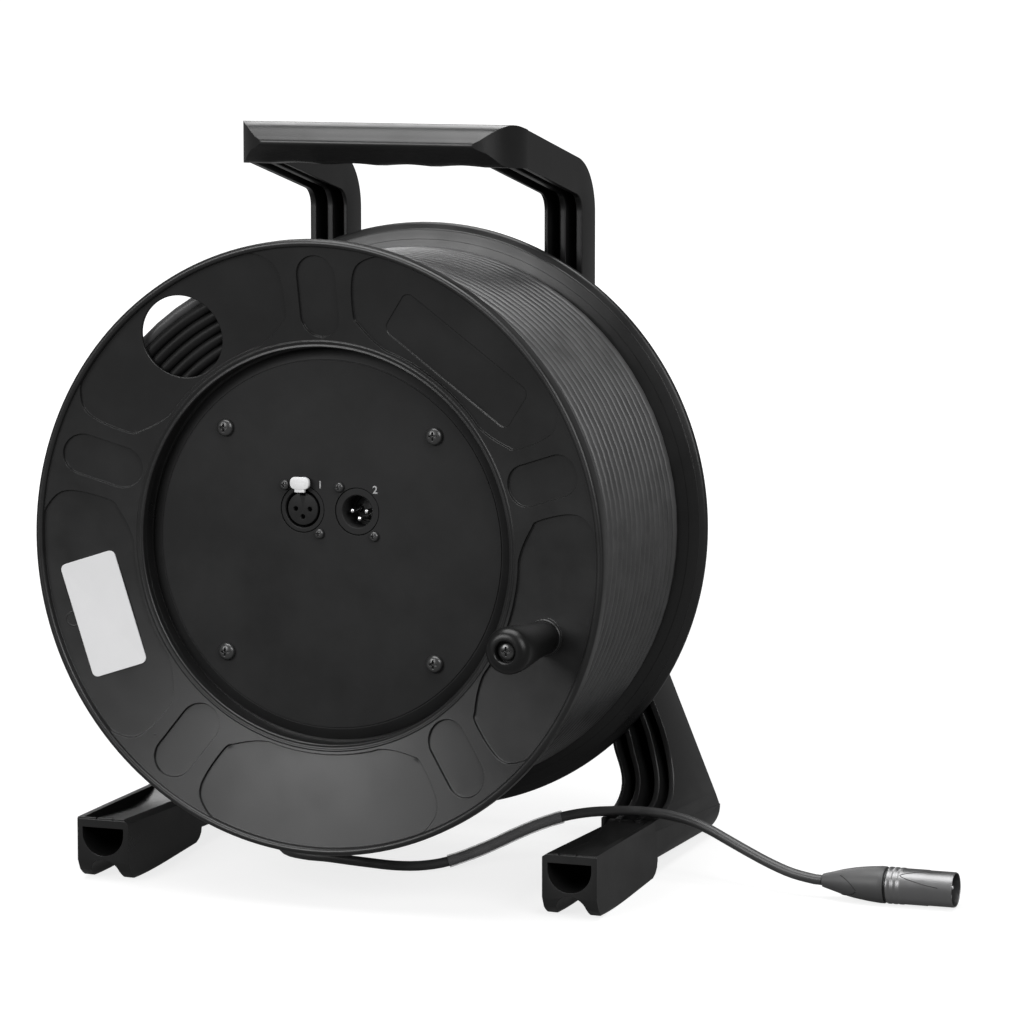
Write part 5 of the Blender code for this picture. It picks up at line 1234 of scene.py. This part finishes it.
def make_lead():
    half = [(-0.0150, 0.0007, 0.0), (-0.0150, 0.0125, 0.0), (-0.0130, 0.0225, 0.012)]
    route = half + [(0.0, 0.0265, 0.026)] + [(-x, y, z) for x, y, z in reversed(half)]
    points = [(x, PANEL_FRONT + SOCKET_DEPTH + y, SOCKET_HEIGHT + z) for x, y, z in route]
    add_tube("inner_lead_dressed", smooth_row(points, 0.003), TAIL_DIAMETER, "drum", JACKET,
             ("inner_lead",))


# Crank knob

def make_knob():
    seat = KNOB_SEAT - GAP
    tip = seat - KNOB_LENGTH
    recess = tip + KNOB_RECESS_DEPTH
    outline = [(KNOB_BORE_RADIUS, recess), (KNOB_RECESS_RADIUS, recess)]
    outline += near(KNOB_RECESS_RADIUS, tip, (0, 0.9), (0.2, 0.4), (0.7, 0))
    outline += arc((KNOB_TIP_RADIUS - KNOB_TIP_ROUND, tip + KNOB_TIP_ROUND), KNOB_TIP_ROUND, -90, 0, 10)
    outline += near(KNOB_TIP_RADIUS, tip, (0, 7.5), (-0.1, 10), (-0.5, 15), (-1.3, 22))
    outline += near(KNOB_BASE_RADIUS, tip, (1, 30), (0.3, 38), (0, 45), (0, 49.6))
    outline += [(KNOB_BASE_RADIUS - 0.0003, seat), (KNOB_BORE_RADIUS, seat)]
    shape = moved(lathe(outline, 80), (KNOB_X, 0.0, KNOB_Z))
    add_piece("crank_knob", shape, "knob", KNOB_SHADED_BLACK)
    under = recess - GAP
    reach = inner_face_depth(KNOB_DISTANCE) - 0.0008 - under
    bolt = screw_shape(KNOB_RECESS_RADIUS - 0.0006, 0.0024, 0.0040, reach)
    add_piece("knob_bolt", moved(bolt, (KNOB_X, under, KNOB_Z)), "drum", STEEL)


# Bearing and rear plate

def make_bearing():
    bore = AXLE_RADIUS + GAP
    back = HUB_BACK + GAP
    rim = back + BUSH_FLANGE_THICKNESS
    outline = [(bore, rim), *near(BUSH_FLANGE_RADIUS, rim, (-0.4, 0), (0, -0.4))]
    outline += [(BUSH_FLANGE_RADIUS, back), (HUB_BORE_RADIUS - GAP, back)]
    outline += [(HUB_BORE_RADIUS - GAP, back - BUSH_LENGTH)]
    rear = lathe(outline + [(bore, back - BUSH_LENGTH)])
    add_piece("rear_bush", rear, "drum", NATURAL)
    shoulder = HUB_FRONT - GAP - BUSH_FLANGE_THICKNESS - GAP
    front = shoulder - 0.0015 - 0.008 - 0.003
    flange_front = FRAME_BACK - AXLE_FLANGE_THICKNESS - GAP
    flange_back = FRAME_BACK - GAP
    outline = [(0.0, front), *near(0.006, front, (-0.8, 0), (0, 0.8)), (0.006, shoulder)]
    outline += [(AXLE_RADIUS, shoulder), *near(AXLE_RADIUS, rim + GAP, (0, 0), (4.6, 0), (5, 0.4))]
    outline += [(AXLE_RADIUS + 0.005, flange_front)]
    outline += near(AXLE_FLANGE_RADIUS, flange_front, (-0.5, 0), (0, 0.5))
    axle = lathe(outline + [(AXLE_FLANGE_RADIUS, flange_back), (0.0, flange_back)], 96)
    add_piece("axle", axle, "frame", ZINC)


def outer_edge(height):
    return UPRIGHT_OUTER + LEG_SPLAY * max(LEG_TOP - height, 0.0)


def back_screw(radius, length):
    """Domed hexagon-socket screw driven from behind, the underside of its head at y = 0."""
    dome = [(radius * math.sin(angle), 0.0004 + 0.0022 * math.cos(angle))
            for angle in map(math.radians, range(15, 91, 15))]
    shank = [(PLATE_SCREW_RADIUS, 0.0), (PLATE_SCREW_RADIUS, -length), (0.0, -length)]
    head = lathe([(0.0, 0.0026), *dome, (radius, 0.0), *shank], 40)
    return cut(head, prism(circle(0.0016, 6), 0.0008, 0.006))


def make_rear_plate():
    half = [(PLATE_HALF_WIDTH, PLATE_BOTTOM), (PLATE_HALF_WIDTH, PLATE_TOP),
            (PLATE_HALF_WIDTH - 0.018, PLATE_TOP), (PLATE_WAIST, 0.040)]
    corners = [(-half[0][0], half[0][1]), *half, *((-x, z) for x, z in half[:0:-1])]
    outline = rounded_loop(corners, [0.004, 0.004, 0.004, 0.003, 0.006, 0.006, 0.003, 0.004], 6)
    front = FRAME_BACK + GAP
    shape = soft_prism(outline, front, front + PLATE_BACK_THICKNESS, 0.0004)
    add_piece("rear_plate", shape, "frame", PLATE)
    seat = front + PLATE_BACK_THICKNESS + GAP
    places = [(side * (outer_edge(max(height, LEG_TOP)) - FRAME_WALL - 0.0034), seat, height)
              for side in (LEFT, RIGHT) for height in PLATE_SCREW_HEIGHTS]
    add_copies("plate_screw", back_screw(0.0040, 0.0125), places, "frame", ZINC)
    spots = [polar(AXLE_SCREW_CIRCLE, 90 + index * 120) for index in range(3)]
    places = [(across, seat, up) for across, up in spots]
    add_copies("axle_screw", back_screw(0.0040, 0.009), places, "frame", ZINC)


# Frame

def eased(value):
    return min(max(value, 0.0), 1.0)


def member_width(height):
    return UPRIGHT_WIDTH + (LEG_WIDTH - UPRIGHT_WIDTH) * eased((LEG_TOP - height) / 0.078)


def leg_front(height):
    """Front edge of the leg: straight, then sweeping forward into the foot."""
    if height >= LEG_SWEEP_START:
        return UPRIGHT_FRONT + (LEG_FRONT - UPRIGHT_FRONT) * eased((LEG_TOP - height) / 0.038)
    reach = LEG_FRONT - TRAY_REAR + 0.007
    share = min((LEG_SWEEP_START - height) / (LEG_SWEEP_START - FOOT_TOP_REAR), 1.0)
    return LEG_FRONT - reach + reach * math.sqrt(1.0 - share * share)


def channel_section(inner, outer, rib_shares, back, front):
    """Comb-shaped section from a back point to a front point, with softened corners."""
    depth = math.dist(back, front)
    wall = outer - FRAME_WALL
    corners = [(inner, 0.0), (outer, 0.0), (outer, depth), (wall, depth), (wall, FRAME_WEB)]
    radii = [0.0008, 0.0008, 0.0007, 0.0004, 0.0006]
    for share in rib_shares:
        middle = inner + share * (outer - inner)
        right, left = middle + FRAME_RIB / 2, middle - FRAME_RIB / 2
        corners += [(right, FRAME_WEB), (right, depth - RIB_SETBACK), (left, depth - RIB_SETBACK),
                    (left, FRAME_WEB)]
        radii += [0.0006] * 4
    wall = inner + FRAME_INNER_WALL
    corners += [(wall, FRAME_WEB), (wall, depth), (inner, depth)]
    radii += [0.0006, 0.0004, 0.0005]
    loop = []
    for x, distance in rounded_loop(corners, radii, 3):
        share = distance / depth
        loop.append((x, back[0] + (front[0] - back[0]) * share, back[1] + (front[1] - back[1]) * share))
    return loop


def bend(start, corner, end, radius, steps=18):
    """Points of a rounded corner between two straight runs, in (y, z)."""
    corner = Vector(corner)
    before = (Vector(start) - corner).normalized()
    after = (Vector(end) - corner).normalized()
    half = before.angle(after) / 2
    reach = radius / math.tan(half)
    centre = corner + (before + after).normalized() * (radius / math.sin(half))
    first = corner + before * reach - centre
    last = corner + after * reach - centre
    sweep = math.pi - 2 * half
    points = []
    for step in range(steps + 1):
        first_weight, last_weight = (math.sin(share * sweep) / math.sin(sweep)
                                     for share in (1 - step / steps, step / steps))
        points.append(tuple(centre + first * first_weight + last * last_weight))
    return points


def arm_top(depth):
    return ARM_TOP - (depth - GRIP_BACK) * ARM_SLOPE


def arm_edge(drop, sign, corner, radius):
    """Upper or lower edge of the handle's arm in (y, z), from inside the grip to the leg."""
    root = GRIP_BACK - 0.008
    start = (GRIP_BACK + 0.003, arm_top(GRIP_BACK + 0.003) - drop)
    turn = bend(start, (corner, arm_top(corner) - drop), (corner, 0.0), radius)
    return [(root, arm_top(root) - drop - sign * ARM_TAPER),
            (GRIP_BACK, arm_top(GRIP_BACK) - drop - sign * ARM_FLUSH), start, *turn,
            (corner, LEG_TOP + GAP)]


def handle_arm(side):
    outside = arm_edge(0.0, 1, FRAME_BACK, BEND_RADIUS)
    inside = arm_edge(ARM_DEPTH, -1, UPRIGHT_FRONT, INNER_BEND_RADIUS)
    inner = UPRIGHT_OUTER - UPRIGHT_WIDTH
    sections = []
    for index, (back, front) in enumerate(zip(outside, inside)):
        slim = (ARM_TAPER, ARM_FLUSH, 0.0)[min(index, 2)]
        sections.append(channel_section(inner + slim, UPRIGHT_OUTER - slim, (0.477,), back, front))
    return mirrored(loft(sections), side)


def grip_profile(across):
    """Section of the grip in (y, z). Its underside has shallow finger hollows."""
    share = (across / FINGER_WIDTH) % 1.0
    within = abs(across) < FINGER_COUNT * FINGER_WIDTH / 2
    hollow = FINGER_DEPTH * math.sin(math.pi * share) if within else 0.0
    low = GRIP_BOTTOM + hollow
    arm_low = arm_top(GRIP_BACK) - ARM_DEPTH + hollow
    top = [(0.0920, arm_top(0.0920)), (0.0860, arm_top(0.0860)), (0.0815, 0.2094), (0.0775, 0.2084),
           (0.0745, 0.2070), (0.0715, 0.2045), (0.0692, 0.2018)]
    curved = [tuple(point)[:2] for point in smooth_row([(y, z, 0.0) for y, z in top], 0.0011)]
    ends = Vector((0.0692, 0.2018)), Vector((0.0655, 0.1990)), Vector((0.0712, 0.1953))
    nose = [bezier(*ends, share) for share in (0.12, 0.25, 0.36, 0.46, 0.54, 0.64, 0.75, 0.88, 1.0)]
    under = near(0.074, low, (0, 4.4), (2.5, 1.9), (5, 0.5), (8.5, 0))
    return [(GRIP_BACK, arm_low), (GRIP_BACK, arm_top(GRIP_BACK))] + curved + nose + under


def grip_plan():
    depth = GRIP_NOSE + GRIP_CORNER_RADIUS * math.cos(GRIP_CORNER_START)
    right = arc((UPRIGHT_OUTER - GRIP_CORNER_RADIUS, depth), GRIP_CORNER_RADIUS,
                -90 + math.degrees(GRIP_CORNER_START), 0, 24)
    ahead = (right[0][0] - 0.0004, GRIP_NOSE - 0.002)
    corner = [ahead] + right + [(UPRIGHT_OUTER, GRIP_BACK + 0.01)]
    return corner + [(-x, y) for x, y in reversed(corner)]


def make_handle():
    end = UPRIGHT_OUTER + 0.002
    half = FINGER_COUNT * FINGER_STEPS // 2
    stations = [-end] + [FINGER_WIDTH * step / FINGER_STEPS for step in range(-half, half + 1)] + [end]
    bar = loft([[(x, y, z) for y, z in grip_profile(x)] for x in stations])
    bar = common(bar, plan_prism(grip_plan(), 0.15, 0.25))
    shape = join(join(bar, handle_arm(RIGHT)), handle_arm(LEFT))
    add_piece("handle_frame", shape, "frame", BLACK, smooth_angle=24.0)


def leg_channel():
    heights = [LEG_TOP - GAP, 0.010, 0.0, -0.010, -0.020, -0.040, -0.060, -0.080,
               *np.linspace(LEG_SWEEP_START, -0.1400, 14),
               -0.1420, -0.1436, -0.1448, -0.1456, -0.1460, LEG_BLOCK_TOP - 0.0006]
    sections = []
    for height in heights:
        outer = outer_edge(max(height, LEG_BLOCK_TOP))
        inner = outer - member_width(height)
        front = leg_front(height)
        ease = eased((-0.118 - height) / 0.030)
        ease *= ease * (3 - 2 * ease)
        left = inner + (FOOT_INNER - inner) * ease
        right = outer + (min(outer, FOOT_OUTER) - outer) * ease
        section = []
        channel = channel_section(inner, outer, (0.66, 0.30), (FRAME_BACK, height), (front, height))
        for x, y, z in channel:
            target = left + (x - inner) / (outer - inner) * (right - left)
            section.append((x + (target - x) * (FRAME_BACK - y) / (FRAME_BACK - front), y, z))
        sections.append(section)
    return loft(sections)


def sole_height(depth):
    return -AXIS_HEIGHT / math.cos(STANCE_TILT) + depth * math.tan(STANCE_TILT)


def leg_block():
    """Solid foot of the leg with a large round outer corner. It narrows into the skid."""
    outer = outer_edge(LEG_BLOCK_TOP)
    inner = FOOT_INNER + 0.0003
    sections = []
    for depth in (TRAY_REAR - 0.004, 0.130, 0.150, 0.170, FRAME_BACK):
        share = (FRAME_BACK - depth) / (FRAME_BACK - TRAY_REAR + 0.007)
        edge = outer + (FOOT_OUTER - 0.0003 - outer) * share
        radius = LEG_CORNER_RADIUS + (0.0050 - LEG_CORNER_RADIUS) * share
        outline = [(inner, LEG_BLOCK_TOP - 0.0002), (edge, LEG_BLOCK_TOP - 0.0002)]
        outline += arc((edge - radius, LEG_BOTTOM + radius), radius, 0, -90, 24) + [(inner, LEG_BOTTOM)]
        sections.append([(x, depth, z) for x, z in outline])
    heel = near(TRAY_REAR, LEG_BOTTOM, (-10, 50), (-10, -1))
    heel += near(HEEL_START, LEG_BOTTOM, (0, -1), (0, 0))
    end = FRAME_BACK + 0.01
    heel += [(end, sole_height(end)), (end, LEG_BOTTOM + 0.05)]
    return common(loft(sections), side_prism(heel, inner - 0.01, outer + 0.01))


def foot_body():
    sole_front = sole_height(SKID_START)
    outline = near(FOOT_FRONT, FOOT_TOP, (0.6, 0), (33, 1.2)) + near(SKID_REAR, FOOT_TOP_REAR, (0.3, 0))
    outline += near(SKID_REAR, LEG_BOTTOM, (0.3, 0.2), (0, 0.2), (-0.6, -2.5), (-3, -5.3))
    outline += [(SKID_END, sole_height(SKID_END))]
    outline += near(SKID_START, sole_front, (0, 0), (-5, 1.2), (-9, 4.6))
    outline += near(FOOT_FRONT, sole_front, (0, 10)) + near(FOOT_FRONT, FOOT_TOP, (0, -0.8))
    return side_prism(outline, FOOT_INNER, FOOT_OUTER)


def foot_section():
    middle = (FOOT_INNER + FOOT_OUTER) / 2
    low = sole_height(SKID_START)
    toe = FOOT_WIDTH / 2 - TOE_RADIUS
    rise = ARCH_TOP - low - TOE_RADIUS
    arch = (toe * toe + rise * rise - TOE_RADIUS * TOE_RADIUS) / (2 * (TOE_RADIUS + rise))
    lean = math.degrees(math.atan2(toe, arch - rise))
    outline = [(FOOT_OUTER, -0.10)]
    outline += arc((middle + toe, low + TOE_RADIUS), TOE_RADIUS, 0, -90 - lean, 14)
    outline += arc((middle, ARCH_TOP - arch), arch, 90 - lean, 90 + lean, 24)[1:-1]
    outline += arc((middle - toe, low + TOE_RADIUS), TOE_RADIUS, -90 + lean, -180, 14)
    return outline + near(FOOT_INNER, -0.1, (0, -51), (3.3, -48.8), (3.3, 0))


def foot_hole():
    radius = FOOT_HOLE_WIDTH / 2
    middle = FOOT_OUTER - FOOT_WIDTH / 2
    outline = [(middle + radius, FOOT_HOLE_TOP), (middle - radius, FOOT_HOLE_TOP)]
    outline += arc((middle, FOOT_HOLE_TOP - 0.0031), radius, 180, 360, 40)
    return prism(outline, FOOT_FRONT - 0.01, FOOT_FRONT + FOOT_HOLE_DEPTH)


def foot_tray():
    outline = near(FOOT_FRONT, FOOT_TOP, (1.8, -2.4), (40, -4), (56, -4.2), (68, -3), (78, -0.6),
                   (85, 2))
    outline += near(TRAY_REAR, FOOT_TOP, (30, 2), (30, 30)) + near(FOOT_FRONT, FOOT_TOP, (1.8, 30))
    return side_prism(outline, FOOT_INNER + 0.0033, FOOT_OUTER - 0.0030)


def foot_nicks():
    """Two shallow gate marks in the front top edge."""
    outline = near(FOOT_FRONT, FOOT_TOP, (-1, -0.7), (3, -0.7), (3, 2), (-1, 2))
    middles = [FOOT_INNER + share * FOOT_WIDTH for share in (0.31, 0.63)]
    return gathered([side_prism(outline, middle - 0.0005, middle + 0.0005) for middle in middles])


def make_leg(node, side):
    shape = common(foot_body(), prism(foot_section(), 0.0, 0.14))
    for tool in (foot_tray(), foot_hole(), foot_nicks()):
        shape = cut(shape, tool)
    shape = join(join(shape, leg_block()), leg_channel())
    add_piece(node, mirrored(shape, side), "frame", BLACK, smooth_angle=28.0)


# Free end of the cable

def tail_points():
    """From the winding's end, down to the floor, over the foot and into the plug."""
    before, last = winding_points()[-2:]
    end = STAND @ last
    direction = (STAND.to_3x3() @ Vector((-before.z, 0.0, before.x)).normalized()).normalized()
    heading = Vector((math.cos(PLUG_HEADING), math.sin(PLUG_HEADING), 0.0))
    start = [end + direction * distance for distance in (GAP, 2 * TAIL_DIAMETER, 0.028)]
    finish = [Vector(PLUG_ENTRY) - heading * distance for distance in (0.6 * TAIL_DIAMETER, GAP)]
    middle = smooth_row(start[1:] + [Vector(point) for point in TAIL_ROUTE] + finish[:1], 0.0135,
                        start[0], finish[1])
    return smooth_row(start[:1] + middle + finish[1:], 0.0040)


def ring_tube(points, inner, outer, sides=32):
    """Hollow tube along a row of points, its outside slightly uneven."""
    shape = bmesh.new()
    loops = []
    side_axis = None
    for index, point in enumerate(points):
        forward = (points[min(index + 1, len(points) - 1)] - points[max(index - 1, 0)]).normalized()
        if side_axis is None:
            side_axis = forward.cross(Vector((0, 0, 1))).normalized()
        side_axis = (side_axis - forward * side_axis.dot(forward)).normalized()
        up_axis = forward.cross(side_axis)
        ripple = 1.0 + 0.010 * math.sin(index * 1.7) + 0.008 * math.sin(index * 0.61 + 1.0)
        for radius in (outer * ripple, inner):
            loops.append([shape.verts.new(point + side_axis * across + up_axis * up)
                          for across, up in circle(radius, sides)])
    outers, inners = loops[0::2], loops[1::2]
    for first, second in (*zip(outers, outers[1:]), *zip(inners, inners[1:]),
                          (outers[0], inners[0]), (outers[-1], inners[-1])):
        add_band(shape, first, second)
    bmesh.ops.recalc_face_normals(shape, faces=shape.faces)
    return shape


def on_surface(outline, route):
    """Fine row of points on a turned piece through (along, degrees up from the front) marks."""
    row = smooth_row([(along, math.radians(angle) * 0.01, 0.0) for along, angle in route], 0.0004)
    points = []
    for along, turn, _ in row:
        radius = PLUG_RADIUS
        for (r1, d1), (r2, d2) in zip(outline, outline[1:]):
            if d1 < d2 and d1 <= along <= d2:
                radius = r1 + (r2 - r1) * (along - d1) / (d2 - d1)
                break
        angle = turn / 0.01
        points.append(Vector((radius * math.cos(angle), along, radius * math.sin(angle))))
    return points


def make_plug():
    """Boot, chuck ring, shell, insert and pins. Returns the pieces, which lie on the cord."""
    place = Matrix.Translation(PLUG_ENTRY) @ Matrix.Rotation(PLUG_HEADING - math.pi / 2, 4, "Z")
    pieces = []

    def add(node, shape, material):
        pieces.append(add_piece(node, shape, "frame", material, place))

    boot = near(0.0, 0.0, (0, 0), (3, 0), (3.4, 0.3), (3.6, 1), (4, 2.4), (4.7, 5), (5.5, 7.8),
                (6.4, 10.8), (7.1, 14), (7.8, 17.5), (8.3, 21), (8.8, 25), (9.1, 28.2))
    boot += near(PLUG_RADIUS, BOOT_LENGTH, (0, -3), (0, -0.5), (-0.2, -0.1), (-0.6, 0))
    boot += [(0.0, BOOT_LENGTH)]
    add("plug_boot", lathe(boot), RUBBER)
    ring_end = BOOT_LENGTH + PLUG_RING_LENGTH
    chuck = cylinder(PLUG_RADIUS - 0.0008, BOOT_LENGTH + GAP, ring_end - GAP)
    add("plug_chuck", chuck, DARK)
    inside = PLUG_RADIUS - PLUG_WALL
    insert_front = PLUG_LENGTH - PLUG_INSERT_SETBACK
    floor = insert_front - 0.008
    shell = [(0.0, ring_end)]
    shell += near(PLUG_RADIUS, ring_end, (-0.5, 0), (-0.1, 0.1), (0, 0.5), (0, 1.6), (-0.22, 2),
                  (-0.22, 2.9), (-0.02, 3.3), (-0.02, 4.6), (-0.22, 5), (-0.22, 5.9), (-0.04, 6.4),
                  (-0.04, 8), (-0.25, 8.5))
    shell += near(PLUG_RADIUS, PLUG_LENGTH, (-0.25, -14), (-0.45, -13.6), (-0.45, -0.6), (-0.7, 0))
    shell += near(inside, PLUG_LENGTH, (0.2, 0), (0, -0.3)) + [(inside, floor), (0.0, floor)]
    add("plug_shell", lathe(shell, 80), SHELL)
    insert = cut(cylinder(inside - GAP, floor + GAP, insert_front),
                 contact_holes(PIN_RADIUS + GAP, floor - 0.01, PLUG_LENGTH))
    add("plug_insert", insert, DARK)
    tip = PLUG_LENGTH - PIN_SETBACK
    pin = turned(pin_shape(tip - floor - 0.001), Matrix.Rotation(math.pi, 4, "Z"))
    pieces += add_copies("plug_pin", pin, contact_places(0.0, tip, 0.0), "frame", SILVER,
                         place)
    # The lines on the boot and the shell are thin dark tubes laid on the surface. Their dark colour is
    # painted shade standing for the shade in engraved grooves.
    lines = {
        "boot_line_1": (boot, [(0.0105, 47), (0.0135, 30), (0.0170, 8), (0.0195, -13)]),
        "boot_line_2": (boot, [(0.0192, -20), (0.0165, -38), (0.0130, -58), (0.0102, -74)]),
        "shell_line_1": (shell, [(0.0420, 51), (0.0435, 45), (0.0480, 36), (0.0545, 26), (0.0622, 18)]),
        "shell_line_2": (shell, [(0.0420, 51), (0.0435, 57), (0.0480, 66), (0.0545, 76), (0.0622, 84)]),
    }
    for name, (outline, route) in lines.items():
        points = on_surface(outline, route)
        pieces.append(add_tube(name, points, PLUG_LINE_WIDTH, "frame", DARK, (), place))
    return pieces


def make_cord():
    world = Matrix.Identity(4)
    points = tail_points()
    tail = add_tube("cable_tail_dressed", points, TAIL_DIAMETER, "frame", JACKET, ("cable_tail",),
                    world, resolution=6)
    covered = [point for point in points if SLEEVE_START < point.x < SLEEVE_END]
    inner = TAIL_DIAMETER / 2 + SLEEVE_GAP
    shape = ring_tube(smooth_row(covered, 0.0016), inner, inner + SLEEVE_WALL)
    sleeve = add_piece("cable_sleeve", shape, "frame", SLEEVE, world)
    pieces = make_plug()


make_camera()
make_studio()
make_cord()
make_front_flange()
make_rear_flange()
make_barrel()
make_winding()
make_core()
make_label()
make_panel()
make_female()
make_male()
make_tab()
make_numeral("numeral_one", "1", FEMALE_X + 0.0098, SOCKET_HEIGHT + 0.0128, 0.0036)
make_numeral("numeral_two", "2", MALE_X + 0.0099, SOCKET_HEIGHT + 0.0115, 0.0038)
make_lead()
make_knob()
make_bearing()
make_rear_plate()
make_handle()
make_leg("left_leg", LEFT)
make_leg("right_leg", RIGHT)

# These stay as the CAD has them, with a finish only
for node, material in (("front_bush", NATURAL), ("axle_washer", ZINC), ("axle_nut", ZINC)):
    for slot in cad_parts[node].material_slots:
        slot.material = material

bpy.context.view_layer.update()
